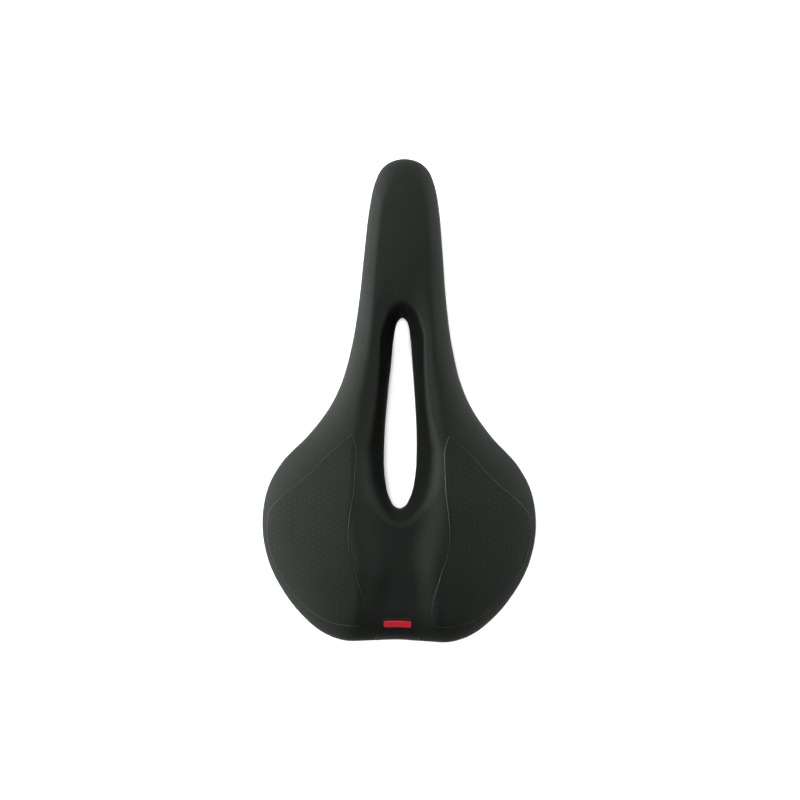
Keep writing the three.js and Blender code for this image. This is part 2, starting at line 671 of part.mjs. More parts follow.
// Rear brackets
const barrelHalfWidth = railRadius + BRACKET_WALL;
const earSpread = barrelHalfWidth + EAR_GAP + SCREW_HEAD_RADIUS;
const bracketTurn = Math.atan2(RAIL_END_TURN, RAIL_END_RUN);
const bracketCentre = new THREE.Vector2(
  railEndSpread - (RAIL_END_TURN * (BRACKET_LENGTH / 2 - BRACKET_WALL)) / RAIL_END_RUN,
  RAIL_END + BRACKET_LENGTH / 2 - BRACKET_WALL,
);
const underBracket = underRing(-CLEARANCE, -TOOL_HEIGHT, shellInner, shellInset + FLANGE_WIDTH + CLEARANCE);

function rearScrews() {
  return [-1, 1].map((side) => {
    const offset = new THREE.Vector2(side * earSpread, 0).rotateAround(new THREE.Vector2(0, 0), bracketTurn);
    const centre = bracketCentre.clone().add(offset);
    const under = shellUnder(centre.x, centre.y);
    const earBottom = shellUnder(bracketCentre.x, bracketCentre.y) - EAR_THICKNESS;
    return { centre, seat: earBottom - CLEARANCE, tip: under + SCREW_BITE };
  });
}

const rearScrewPlaces = rearScrews();

function bossOf({ centre }, margin) {
  const under = shellUnder(centre.x, centre.y);
  return pillar(centre, BOSS_RADIUS + margin, under - BOSS_DEPTH - margin, under + 2 * ROOT);
}

function rearBracket() {
  const under = shellUnder(bracketCentre.x, bracketCentre.y);
  const barrelBottom = railEndHeight - RAIL_END_RISE - railRadius - BRACKET_WALL;
  const earWidth = earSpread + EAR_MARGIN;
  const half = BRACKET_LENGTH / 2;
  const barrel = upright(
    roundedBlock(bracketCentre, barrelHalfWidth, half, CORNER, bracketTurn), barrelBottom, under + TOOL_HEIGHT / 2,
  );
  const ears = upright(
    roundedBlock(bracketCentre, earWidth, half - EAR_INSET, CORNER, bracketTurn),
    under - EAR_THICKNESS,
    under + TOOL_HEIGHT / 2,
  );
  let body = barrel.add(ears).intersect(underBracket).subtract(railSpace);
  for (const place of rearScrewPlaces) {
    body = body.subtract(bossOf(place, CLEARANCE)).subtract(screwHole(place));
  }
  return body;
}

// Nose clip and the cradle of the shell over it
const clipCentre = new THREE.Vector2(0, railNose + railRadius - CLIP_LENGTH / 2 - CLEARANCE);
const clipBottom = noseRailHeight - railRadius - CLIP_FLOOR;
const noseScrewPlaces = [-1, 1].map((side) => {
  const y = railNose - railRadius - CLIP_LENGTH / 2 + (side * NOSE_SCREW_SPACING) / 2;
  return {
    centre: new THREE.Vector2(0, y),
    seat: clipBottom - CLEARANCE,
    tip: shellUnder(0, y) + SCREW_BITE,
  };
});

function noseClip() {
  const top = noseRailHeight - CLEARANCE / 2;
  const outline = roundedBlock(clipCentre, CLIP_HALF_WIDTH, CLIP_LENGTH / 2, CORNER, 0);
  let body = upright(outline, clipBottom, top).subtract(railSpace);
  for (const place of noseScrewPlaces) body = body.subtract(screwHole(place));
  return body;
}

function noseCradle() {
  const halfWidth = CLIP_HALF_WIDTH + CRADLE_MARGIN;
  const halfLength = CLIP_LENGTH / 2 + CRADLE_MARGIN;
  const outline = roundedBlock(clipCentre, halfWidth, halfLength, CORNER, 0);
  return upright(outline, noseRailHeight + CLEARANCE / 2, noseRailHeight + TOOL_HEIGHT)
    .intersect(underRing(ROOT, -TOOL_HEIGHT, shellInner, shellInset + SHELL_WALL / 2));
}

/** Ribs under the shell: two beside the cut-out and two across the wings. */
function shellRibs() {
  const half = RIB_THICKNESS / 2;
  const bar = (x0, x1, y0, y1) => upright([[x0, y0], [x1, y0], [x1, y1], [x0, y1]], 0, 2 * SEAT_HEIGHT);
  const ringPart = underRing(
    ROOT, -RIB_DEPTH, HEM + 2 * CLEARANCE + TRIM_RIM, shellInset + SHELL_WALL / 2,
  );
  const beside = CUTOUT_WIDTH / 2 + HEM + TRIM_RIM + 2 * RIB_THICKNESS;
  const rear = RAIL_END + BRACKET_LENGTH + 3 * RIB_THICKNESS;
  const ribs = [-1, 1].map((side) => bar(
    Math.min(side * beside - half, side * beside + half),
    Math.max(side * beside - half, side * beside + half),
    rear,
    CUTOUT_START + cutoutLength * ribShare,
  ));
  for (const y of [rear, CUTOUT_START - RIB_THICKNESS]) ribs.push(bar(-WIDTH / 2, WIDTH / 2, y - half, y + half));
  return ribs.reduce((all, rib) => all.add(rib)).intersect(ringPart);
}

function baseShell() {
  let body = shellBody().add(noseCradle()).add(shellRibs()).subtract(railSpace);
  for (const side of [1, -1]) {
    for (const place of rearScrewPlaces) {
      const there = { ...place, centre: new THREE.Vector2(side * place.centre.x, place.centre.y) };
      body = body.add(bossOf(there, 0));
      body = body.subtract(screwHole(there));
    }
  }
  for (const place of noseScrewPlaces) body = body.subtract(screwHole(place));
  return body;
}

// Samples of the cover's outer face, to find its height at a place
const skinSamples = sections.flatMap((section) => skinRowShares.slice(2, -1).map((row) => skinPoint(section, row)));

function skinHeight(x, y) {
  let best = skinSamples[0];
  for (const sample of skinSamples) {
    if (Math.hypot(sample.x - x, sample.y - y) < Math.hypot(best.x - x, best.y - y)) best = sample;
  }
  return best.z;
}

/** An outline with every side moved outwards by a margin. The points run clockwise or anticlockwise. */
function offsetOutline(points, margin) {
  const area = THREE.ShapeUtils.area(points.map(([x, y]) => new THREE.Vector2(x, y)));
  const outward = area > 0 ? margin : -margin;
  const normalOf = ([x0, y0], [x1, y1]) => new THREE.Vector2(y1 - y0, x0 - x1).normalize();
  return points.map((point, i) => {
    const before = normalOf(points[(i + points.length - 1) % points.length], point);
    const after = normalOf(point, points[(i + 1) % points.length]);
    const move = outward / (1 + before.dot(after));
    return [point[0] + (before.x + after.x) * move, point[1] + (before.y + after.y) * move];
  });
}

/** A body over an outline that starts a little under the cover's outer face. */
function skinTool(points, margin) {
  const lowest = Math.min(...points.map(([x, y]) => skinHeight(x, y)));
  return upright(offsetOutline(points, margin), lowest - PANEL_CUT - margin, SEAT_HEIGHT + TOOL_HEIGHT);
}

function mirrored(body) {
  return body.mirror([1, 0, 0]);
}

const panelOutline = panelShares.map(([x, y]) => [(x * WIDTH) / 2, y * LENGTH]);
const badgeOutline = badgeShares.map(([x, y]) => [(x * BADGE_WIDTH) / 2, y * BADGE_LENGTH]);
const barCentre = new THREE.Vector2(0, BAR_START + BAR_LENGTH / 2);
const barOutline = roundedBlock(barCentre, BAR_WIDTH / 2, BAR_LENGTH / 2, BAR_CORNER, 0);

const seam = CLEARANCE / 2;
const cover = wholeCover();
const panelRight = cover.intersect(skinTool(panelOutline, -seam));
const badgeWhole = cover.intersect(skinTool(badgeOutline, -seam));
const badgeBar = badgeWhole.intersect(skinTool(barOutline, -seam));
const badge = badgeWhole.subtract(skinTool(barOutline, seam));
const coverCentre = cover
  .subtract(skinTool(panelOutline, seam))
  .subtract(mirrored(skinTool(panelOutline, seam)))
  .subtract(skinTool(badgeOutline, seam));

/** The insert over one sit bone: the top of the foam within an oval. */
function insertTool(margin) {
  const geometry = new THREE.CylinderGeometry(1, 1, TOOL_HEIGHT, INSERT_SIDES);
  geometry.rotateX(Math.PI / 2);
  geometry.scale(INSERT_WIDTH / 2 + margin, INSERT_LENGTH / 2 + margin, 1);
  const bottom = skinHeight(insertSide + INSERT_WIDTH / 2, INSERT_PLACE) - SKIN - INSERT_DEPTH - margin;
  geometry.translate(insertSide, INSERT_PLACE, bottom + TOOL_HEIGHT / 2);
  return solid(geometry);
}

const foam = wholeFoam();
const insertRight = foam.intersect(insertTool(0));
const foamPad = foam.subtract(insertTool(CLEARANCE)).subtract(mirrored(insertTool(CLEARANCE)));

const materials = {
  cover: { color: 0x2e332f, roughness: 0.75, metalness: 0 },
  panel: { color: 0x30352f, roughness: 0.85, metalness: 0 },
  badge: { color: 0x262b28, roughness: 0.6, metalness: 0 },
  bar: { color: 0xc7242f, roughness: 0.45, metalness: 0 },
  foam: { color: 0x3a3a38, roughness: 0.95, metalness: 0 },
  insert: { color: 0x6f7f8a, roughness: 0.8, metalness: 0 },
  shell: { color: 0x17181a, roughness: 0.55, metalness: 0 },
  trim: { color: 0x1c1d1f, roughness: 0.5, metalness: 0 },
  rail: { color: 0x202124, roughness: 0.35, metalness: 0.9 },
  bracket: { color: 0x1a1b1d, roughness: 0.5, metalness: 0 },
  screw: { color: 0x8e9094, roughness: 0.3, metalness: 1 },
};

const saddle = new THREE.Group();
saddle.position.y = -LENGTH / 2;

function addPiece(name, body, finish) {
  const mesh = new THREE.Mesh(geometryOf(body), new THREE.MeshStandardMaterial(materials[finish]));
  mesh.name = name;
  saddle.add(mesh);
}

function addPair(name, body, finish) {
  addPiece(`${name}_right`, body, finish);
  addPiece(`${name}_left`, mirrored(body), finish);
}

addPiece('cover_centre', coverCentre, 'cover');
addPair('cover_wing', panelRight, 'panel');
addPiece('tail_badge', badge, 'badge');
addPiece('tail_badge_bar', badgeBar, 'bar');
addPiece('foam_pad', foamPad, 'foam');
addPair('sit_insert', insertRight, 'insert');
addPiece('base_shell', baseShell(), 'shell');
addPiece('cutout_trim', trimBody(), 'trim');
addPiece('rail', railBody, 'rail');
addPair('rear_bracket', rearBracket(), 'bracket');
addPair('rear_screw_inner', screwBody(rearScrewPlaces[0]), 'screw');
addPair('rear_screw_outer', screwBody(rearScrewPlaces[1]), 'screw');
addPiece('nose_clip', noseClip(), 'bracket');
addPiece('nose_screw_rear', screwBody(noseScrewPlaces[0]), 'screw');
addPiece('nose_screw_front', screwBody(noseScrewPlaces[1]), 'screw');

export default saddle;
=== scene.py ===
"""A bicycle saddle with a pressure-relief cut-out, dressed over its packed frame.

The soft pieces, the shell and the trim are rings round the cut-out. A ring is a row of sections. Each
section starts square to the outline of the cut-out, ends square to the outer outline, and carries one closed
profile. Metres, +Y to the nose, +Z up; while shapes are worked out, y is measured from the tail.

The rounding of the tail edge, the channel over the tail, the front end of the cut-out and the red bar differ
a little from the solids.
"""

import bmesh
import bpy
import numpy as np
from bpy.props import FloatProperty, FloatVectorProperty, PointerProperty
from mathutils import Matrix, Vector


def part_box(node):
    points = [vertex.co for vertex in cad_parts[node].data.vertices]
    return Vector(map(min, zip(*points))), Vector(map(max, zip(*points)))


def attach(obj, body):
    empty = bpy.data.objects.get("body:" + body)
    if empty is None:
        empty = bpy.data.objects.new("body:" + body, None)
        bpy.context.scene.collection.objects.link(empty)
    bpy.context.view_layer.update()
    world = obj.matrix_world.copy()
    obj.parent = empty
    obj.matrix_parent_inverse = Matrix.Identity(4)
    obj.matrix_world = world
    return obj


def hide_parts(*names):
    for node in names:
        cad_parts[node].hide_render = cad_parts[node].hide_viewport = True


bl_info = {
    "name": "Bicycle saddle",
    "version": (1, 0, 0),
    "blender": (4, 5, 0),
    "location": "View3D > Sidebar > Saddle",
    "description": "Builds a bicycle saddle over its packed frame",
    "category": "Object",
}

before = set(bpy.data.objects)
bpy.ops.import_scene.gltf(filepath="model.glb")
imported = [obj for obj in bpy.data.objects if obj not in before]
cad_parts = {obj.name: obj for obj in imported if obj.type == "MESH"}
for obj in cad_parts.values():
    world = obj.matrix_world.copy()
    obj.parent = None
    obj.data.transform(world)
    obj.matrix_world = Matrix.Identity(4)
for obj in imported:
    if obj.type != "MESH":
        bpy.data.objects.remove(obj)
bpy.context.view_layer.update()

MM = 0.001
TINY = 1e-12  # least length to divide by, in metres
OUTLINE_STEPS = 80  # samples per stretch of an outline
WIDTH_STEPS = 400  # samples of half the outer outline
CURVE_STEPS = 40  # samples along a section
TURN_STEP = 0.0004  # share of an outline from a place to the two places that give its tangent
ROUNDNESS = 2.3  # power of the rounded outer edge: 2 is an ellipse
LIP_ROUNDNESS = 1.6  # power of the rounded lip of the cut-out

# Sections of each ring, and the steps on a skin's wall, lip, middle, outer edge and skirt
COVER_SECTIONS = 680
COVER_STEPS = (5, 14, 39, 31, 11)
COVER_INNER_STEP = 4  # the inner face has one row for so many of the outer face
FOAM_SECTIONS = 460
FOAM_STEPS = (3, 8, 39, 19, 5)
SHELL_SECTIONS = 520
SHELL_ROWS = 24
SHELL_BEND_ROWS = 9
UNDERSIDE_ROWS = 20
TRIM_SECTIONS = 360
HEM_ROWS = 4
FILLET_ROWS = 6
RIB_STEPS = 60
STAPLE_TURNS = 2001
PATH_STEPS = 20
CORNER_STEPS = 8

# Sides of the round pieces
TUBE_SIDES = 40
LINE_SIDES = 8
WIRE_SIDES = 6
INSERT_SIDES = 72
SCREW_SIDES = 48

# Degrees between two faces past which the edge between them stays sharp
SHARP_EDGE = 35
SHARP_RING = 50
SHARP_SLAB = 60
SHARP_BLOCK = 40
SHARP_SOLID = 32

# The search for the section through a place: a coarse net, then Newton steps of a limited size
NET_TURNS = 160
NET_ROWS = 14
NET_BLOCK = 2000  # places compared with the net at once
NEWTON_STEPS = 7
NEWTON_TURN = 1e-4  # small change of the turn, which gives a slope
NEWTON_INWARD = 1e-5  # small change of the distance, which gives a slope, in metres
NEWTON_LIMIT = 0.01  # the most that one step may move
NEWTON_AREA = 1e-9  # least area to divide by

# How much further the outer face has run than the plan
RUN_STEPS = 200
RUN_END = 0.985  # share of the edge's run past which no more is added
RUN_DROP_SHARE = 0.6  # drop of the edge over its reach, as a mean

# Half outlines from the tail to the nose: (share of half the width, share of the length)
outer_shares = [
    (0, 0.0039), (0.22, 0.0005), (0.391, 0.0001), (0.55, 0.016), (0.714, 0.0538), (0.854, 0.1046),
    (0.952, 0.161), (1, 0.236), (0.965, 0.3113), (0.858, 0.3677), (0.67, 0.4241), (0.525, 0.4801),
    (0.433, 0.5365), (0.365, 0.6119), (0.317, 0.7058), (0.287, 0.7996), (0.254, 0.8935), (0.218, 0.9469),
    (0.168, 0.9781), (0.1, 0.9937), (0, 1),
]
cutout_shares = [
    (0, 0), (0.361, 0.0149), (0.607, 0.0513), (0.798, 0.0989), (0.962, 0.1931), (1, 0.2873),
    (0.962, 0.4291), (0.847, 0.5709), (0.656, 0.7593), (0.519, 0.8881), (0.35, 0.9683), (0.21, 0.9875),
    (0, 1),
]
# The four sides of the right wing panel, each as (share of half the width, share of the length)
panel_inner_shares = [
    (0.352, 0.427), (0.322, 0.396), (0.326, 0.355), (0.334, 0.31), (0.357, 0.26), (0.366, 0.23),
    (0.362, 0.2), (0.345, 0.175), (0.313, 0.148), (0.28, 0.115), (0.255, 0.09), (0.244, 0.065),
    (0.255, 0.045), (0.29, 0.034),
]
panel_rear_shares = [(0.29, 0.034), (0.391, 0.035), (0.522, 0.044), (0.645, 0.064), (0.755, 0.093)]
panel_side_shares = [
    (0.755, 0.093), (0.847, 0.131), (0.915, 0.165), (0.945, 0.193), (0.962, 0.225), (0.955, 0.262),
]
panel_front_shares = [
    (0.955, 0.262), (0.925, 0.274), (0.868, 0.292), (0.75, 0.32), (0.632, 0.35), (0.536, 0.38),
    (0.45, 0.403), (0.352, 0.427),
]
# The badge on the tail, from its front corner to the rear: (share of half its width, share of its length)
badge_side_shares = [(0.56, 1), (0.66, 0.93), (0.88, 0.45), (1, 0.1), (1, -0.35)]

# Shares along the length: (place from the tail, share of the named size)
tail_rise_shares = [(0, 0), (0.07, 0.55), (0.16, 1), (0.27, 0.75), (0.42, 0), (1, 0)]
waist_drop_shares = [(0, 0), (0.25, 0), (0.5, 0.9), (0.62, 1), (1, 1)]
nose_drop_shares = [(0, 0), (0.8, 0), (0.9, 0.25), (1, 1)]
edge_reach_shares = [
    (0, 1), (0.1, 1.1), (0.24, 0.73), (0.36, 0.8), (0.5, 1), (0.65, 0.75), (0.8, 0.55), (1, 0.6),
]
edge_drop_shares = [
    (0, 1), (0.1, 0.85), (0.24, 0.36), (0.36, 0.52), (0.5, 1), (0.65, 0.9), (0.8, 0.7), (1, 0.72),
]
rim_depth_shares = [(0, 0.36), (0.24, 0.36), (0.45, 0.5), (0.75, 0.95), (0.9, 1), (1, 0.65)]
foam_shares = [(0, 0.9), (0.24, 1), (0.5, 0.97), (0.67, 0.87), (0.8, 0.65), (1, 0.56)]
channel_width_shares = [
    (0, 0.8), (0.06, 0.72), (0.1, 0.65), (0.14, 0.62), (0.18, 0.67), (0.23, 0.82), (0.28, 0.96),
    (0.36, 0.98), (0.46, 0.84), (0.56, 0.7), (0.67, 0.56), (0.74, 0.42), (1, 0.3),
]
channel_depth_shares = [
    (0, 0.4), (0.06, 0.7), (0.12, 0.95), (0.2, 0.97), (0.28, 0.78), (0.5, 0.7), (0.62, 0.5), (0.68, 0.3),
    (0.73, 0.1), (0.78, 0), (1, 0),
]
channel_slope_shares = [(0, 1.2), (0.2, 1.3), (0.3, 1), (0.5, 1), (0.65, 0.7), (1, 0.6)]
lip_reach_shares = [(0, 0.6), (0.27, 0.6), (0.34, 1), (0.52, 1), (0.6, 0.85), (0.67, 0.6), (1, 0.6)]
# Which place on the cut-out's half outline faces which place on the outer one, and where sections stand
facing_shares = [
    (0, 0), (0.17, 0.06), (0.33, 0.14), (0.5, 0.36), (0.63, 0.6), (0.76, 0.82), (0.9, 0.95), (1, 1),
]
section_shares = [(0, 0), (0.14, 0.09), (0.52, 0.45), (0.66, 0.6), (0.9, 0.95), (1, 1)]
# Shares of a section's length: handles of its curve, the most the outer edge may take, and the lip
HANDLE_SHARE = 0.35
EDGE_SHARE = 0.6
LIP_SHARE = 0.3

# Places and forms of the small pieces, as shares of their own sizes
HEM_INNER_SHARE = 0.2  # first row of a hem, as a share of its width
RIB_END_SHARE = 0.85  # front end of the long ribs, as a share of the cut-out's length
NOSE_BEND_SHARE = 0.999  # bend at the nose over half its spacing: nearly a half circle
TRIM_SLOPE_SHARES = (0.6, 0.7)  # corner of the trim's slope: share of its rim, share of its thickness
RAIL_END_SHARES = (0, 0.02, 0.05)  # rows of a rail end, as shares of its first run
RAIL_END_RADII = (0.8, 0.95)  # radius of the outer rows there, as shares
STAPLE_PLACE_SHARE = 0.55  # place of the staples across the hem
STAPLE_SINK_SHARE = 0.25  # depth of the crown of a staple, as a share of its wire
staple_shares = (-0.5, -0.46, -0.25, 0, 0.25, 0.46, 0.5)  # points of its crown, as shares of its width
KEY_POINT_SHARES = (0.2, 1.15)  # bottom of a screw's socket: share of its width, share of its depth

# Gathers of the hem: waves and swells once round, and where they stand: (start, fade), shares of the length
PLEAT_WAVES = 96
PLEAT_SWELLS = 31
PLEAT_SWELL_SHARE = 0.4
PLEAT_TAIL_WEIGHT = 0.6
pleat_nose_shares = (0.93, 0.05)
pleat_tail_shares = (0.12, 0.06)

# The wing panels: rows and their step at the edges, the cells, and the line round a panel
PANEL_ACROSS = (112, 0.009)
PANEL_ALONG = (190, 0.005)
close_shares = (0, 0.25, 0.6, 1.05, 1.6)
CLOSE_END_SHARE = 2.3
CELL_TOP_SHARE = 0.35
CELL_SLOPE_SHARE = 0.6
LINE_STEPS = 150
LINE_RISE_SHARE = 0.35  # middle of the line above the cover, as a share of its radius

# The badge and its bar: turns over which the tail is sampled, rows on the skin, and counts
TAIL_TURN = 0.14
TAIL_STEPS = 500
SPINE_STEPS = 400
BADGE_END_ROW = 4.7  # on the skirt, which goes from 4 to 5
BADGE_ROWS = 60
BADGE_COLUMNS = 70
BADGE_EASE = 0.35  # how much closer the columns stand at the sides
BADGE_LINE_SHARE = 0.7  # radius of the line round the badge over that of the panels' lines
BAR_END_ROW = 4
BAR_SPINE_STEPS = 200
BAR_ROWS = 26
BAR_COLUMNS = 90
BAR_TAPER = 0.05  # how much the bar narrows on each side, for its length

# The inserts: their middle and their rounded edge as shares of the oval, and the pocket round them
INSERT_MIDDLE_SHARE = 0.03
INSERT_EDGE_SHARE = 0.08
INSERT_ROWS = 16
POCKET_SHARE = 1.03
POCKET_FADE_SHARE = 0.06

# Each finish: (roughness, spacing of its grain in mm, depth of that grain in mm, strength of the bump)
finishes = {
    "cover": (0.8, 0.8, 0.06, 0.55),
    "panel": (0.8, 0.5, 0.04, 0.5),
    "line": (0.45, 0.6, 0.01, 0.6),
    "badge": (0.7, 0.4, 0.02, 0.6),
    "bar": (0.5, 0.5, 0.008, 0.6),
    "foam": (0.92, 0.7, 0.25, 0.6),
    "gel": (0.4, 1.5, 0.02, 0.6),
    "shell": (0.52, 0.45, 0.035, 0.6),
    "trim": (0.42, 0.5, 0.015, 0.6),
    "rail": (0.34, 2.5, 0.02, 0.6),
    "mark": (0.55, 0.3, 0.004, 0.6),
    "bracket": (0.48, 0.6, 0.02, 0.6),
    "screw": (0.32, 0.25, 0.006, 0.6),
    "floor": (0.7, 1.5, 0.01, 0.6),
}
# How strongly each kind of surface mirrors
coated = {"ior": 1.4, "specular_ior_level": 0.31}
urethane = {"ior": 1.5}
padding = {"ior": 1.45}
moulded = {"ior": 1.53}
PEBBLE_SMOOTHNESS = 0.6
NOISE_DETAIL = 3.0
COVER_PATCH = 0.009  # size of the slow patches of tone, in metres
PLAIN_PATCH = 0.014
COVER_TONE = 0.14  # how much darker and lighter the tone gets
# painted shade in the grooves between the panels' cells and painted highlight on their tops, as a share of
# the colour
PANEL_PAINTED_CELL_SHADE = 0.04
PLAIN_TONE = 0.1
COVER_GLOSS = (0.72, 0.86)  # roughness in the grain's hollows and on its pebbles
PANEL_GLOSS = (0.83, 0.77)  # roughness between the cells and on top of them
GLOSS_CHANGE = 0.06
BEVEL_STEPS = 2
MERGE_DISTANCE = 2e-6  # points of a solid closer than this become one, in metres
FLAT_ANGLE = 0.6  # degrees between faces that become one


def linear(hex_colour):
    """The linear colour of an sRGB hex value."""
    value = np.array([int(hex_colour[i:i + 2], 16) for i in (1, 3, 5)]) / 255
    return tuple(np.where(value <= 0.04045, value / 12.92, ((value + 0.055) / 1.055) ** 2.4))


def length(name, description, millimetres):
    """A length property whose default is given in millimetres."""
    return FloatProperty(
        name=name, description=description, default=millimetres * MM, unit="LENGTH", precision=5
    )


def angle(name, description, degrees):
    """An angle property whose default is given in degrees."""
    return FloatProperty(name=name, description=description, default=np.radians(degrees), subtype="ANGLE")


def number(name, description, value):
    """A number property that can't be negative."""
    return FloatProperty(name=name, description=description, default=value, min=0)


def colour(name, description, hex_colour):
    """A colour property whose default is an sRGB hex value."""
    return FloatVectorProperty(
        name=name, description=description, default=linear(hex_colour), subtype="COLOR", min=0, max=1
    )


class SaddleForm(bpy.types.PropertyGroup):
    """Sizes of the padded body and its shell, as in the solids"""

    length: length("Length", "Tail to nose", 270)
    width: length("Width", "Across the wings", 153.4)
    seat_height: length("Seat height", "Underside of the rail to the crest", 56)
    tail_rise: length("Tail rise", "How far the tail stands above the crest", 4)
    waist_drop: length("Waist drop", "How far the front half lies below the crest", 5)
    nose_drop: length("Nose drop", "How far the nose tip falls", 7)
    wing_fall: length("Wing fall", "Fall of the crown from the middle to the widest point", 18)
    edge_reach: length("Edge reach", "How far in the rounding of the outer edge reaches, at most", 22)
    edge_drop: length("Edge drop", "Height of that rounding, at most", 12)
    skirt_tuck: length("Skirt tuck", "How far the lower edge tucks in", 1.2)
    rim_depth: length("Rim depth", "Rim of the shell below its underside", 13)
    cutout_start: length("Cut-out start", "From the tail", 73.8)
    cutout_length: length("Cut-out length", "Along the saddle", 107.2)
    cutout_width: length("Cut-out width", "At its widest", 18.3)
    handle_limit: length("Handle limit", "Distance past which a section's handles grow no longer", 45)
    lip_reach: length("Lip reach", "How far out the lip of the cut-out reaches, at most", 15)
    lip_drop: length("Lip drop", "Height of the rounded lip", 16)
    channel_width: length("Channel width", "Between the middles of its sloping walls", 42)
    channel_slope: length("Channel slope", "Width of one sloping wall, at its widest", 16)
    channel_depth: length("Channel depth", "Depth of the central channel", 5.5)
    skin: length("Skin", "Thickness of the cover", 1.2)
    clearance: length("Clearance", "Between neighbouring pieces", 0.3)
    foam_depth: length("Foam depth", "Foam over the shell", 18)
    foam_taper: length("Foam taper", "Less foam at the widest point than in the middle", 8)
    side_foam: length("Side foam", "Foam between the cover and the shell's wall", 1.2)
    lip_foam: length("Lip foam", "Foam between the cover and the shell's edge in the cut-out", 2)
    shell: length("Shell", "Thickness of the shell plate", 3)
    shell_wall: length("Shell wall", "Thickness of the shell's outer wall", 2.5)
    shell_bend: length("Shell bend", "Outer radius between plate and wall", 5.5)
    flange_width: length("Flange width", "Width of the flange along the rim", 5.5)
    flange_height: length("Flange height", "Height of that flange", 2.2)
    hem: length("Hem", "How far the cover is turned under the shell", 5)


class SaddleDetail(bpy.types.PropertyGroup):
    """Sizes of the panels, the trim and the small pieces"""

    panel_stand: length("Panel stand", "How far a wing panel stands above the cover", 0.25)
    panel_edge: length("Panel edge", "Width of the rounded edge of a panel", 0.7)
    panel_sink: length("Panel sink", "How far a panel reaches into the cover", 0.5)
    cell_pitch: length("Cell pitch", "Spacing of the embossed cells", 3.2)
    cell_depth: length("Cell depth", "Depth of the embossing", 0.026)
    cell_margin: length("Cell margin", "Plain strip along the edge of a panel", 1.2)
    cell_fade: length("Cell fade", "Width over which the cells begin", 1.5)
    line_radius: length("Line radius", "Radius of the welded line round a panel", 0.15)
    badge_length: length("Badge length", "On top of the tail", 14)
    badge_width: length("Badge width", "At the rear edge", 24)
    badge_stand: length("Badge stand", "How far the badge stands above the cover", 0.12)
    badge_sink: length("Badge sink", "How far it reaches into the cover", 0.5)
    badge_edge: length("Badge edge", "Width of its rounded edge", 0.5)
    bar_length: length("Bar length", "Along the saddle", 3.8)
    bar_width: length("Bar width", "Across the saddle", 15.8)
    bar_start: length("Bar start", "From the tail", 8.8)
    bar_stand: length("Bar stand", "How far the bar stands above the badge", 0.35)
    bar_sink: length("Bar sink", "How far the bar reaches in", 0.4)
    bar_edge: length("Bar edge", "Width of its rounded edge", 0.45)
    bar_corner: length("Bar corner", "Radius of its corners", 1.3)
    insert_length: length("Insert length", "Of one gel insert", 54)
    insert_width: length("Insert width", "Of one gel insert", 30)
    insert_depth: length("Insert depth", "Of one gel insert", 5)
    insert_side: length("Insert side", "Middle of an insert from the middle of the saddle", 48.6)
    insert_place: length("Insert place", "Middle of an insert from the tail", 61.2)
    insert_edge: length("Insert edge", "Height of the rounded edge of an insert", 1.2)
    insert_gap: length("Insert gap", "Under an insert", 0.2)
    trim_thickness: length("Trim thickness", "Of the ring under the cut-out", 1.6)
    trim_inset: length("Trim inset", "From the wall of the cut-out", 0.6)
    trim_rim: length("Trim rim", "Width of its outer rim", 2.4)
    trim_root: length("Trim root", "Height of its edge at the wall of the cut-out", 0.4)
    trim_edge: length("Trim edge", "Width of the bevel there", 0.5)
    rib_depth: length("Rib depth", "Depth of the shell's ribs", 4)
    rib_thickness: length("Rib thickness", "Thickness of the shell's ribs", 2.2)
    rib_root: length("Rib root", "How far a rib reaches into the plate", 0.5)
    wall_fillet: length("Wall fillet", "Inner radius between the shell's plate and wall", 2.2)
    boss_radius: length("Boss radius", "Of a screw boss", 3.4)
    boss_depth: length("Boss depth", "Of a screw boss", 4)
    boss_fillet: length("Boss fillet", "Radius at the foot of a screw boss", 1.2)
    boss_root: length("Boss root", "How far it reaches into the plate", 0.2)
    boss_edge: length("Boss edge", "Bevel at its end", 0.3)
    cradle_margin: length("Cradle margin", "Cradle past the nose clip, on each side", 2.5)
    cradle_corner: length("Cradle corner", "Radius of its corners", 3)
    cradle_edge: length("Cradle edge", "Its bevel, its gap over the clip and its root in the plate", 0.3)
    cradle_flare: length("Cradle flare", "How far it widens at the plate", 1)
    pleat_reach: length("Pleat reach", "How far a gather of the hem goes in and out", 0.45)
    pleat_drop: length("Pleat drop", "How far its lower face goes up and down", 0.22)
    pleat_lift: length("Pleat lift", "How far its upper face goes up and down", 0.1)
    staple_width: length("Staple width", "Crown of one staple", 8)
    staple_wire: length("Staple wire", "Diameter of its wire", 0.7)
    staple_spacing: length("Staple spacing", "Along the hem", 21)
    staple_leg: length("Staple leg", "How far its legs reach in", 1.6)
    edge_round: length("Edge rounding", "Rounding of moulded edges", 0.35)


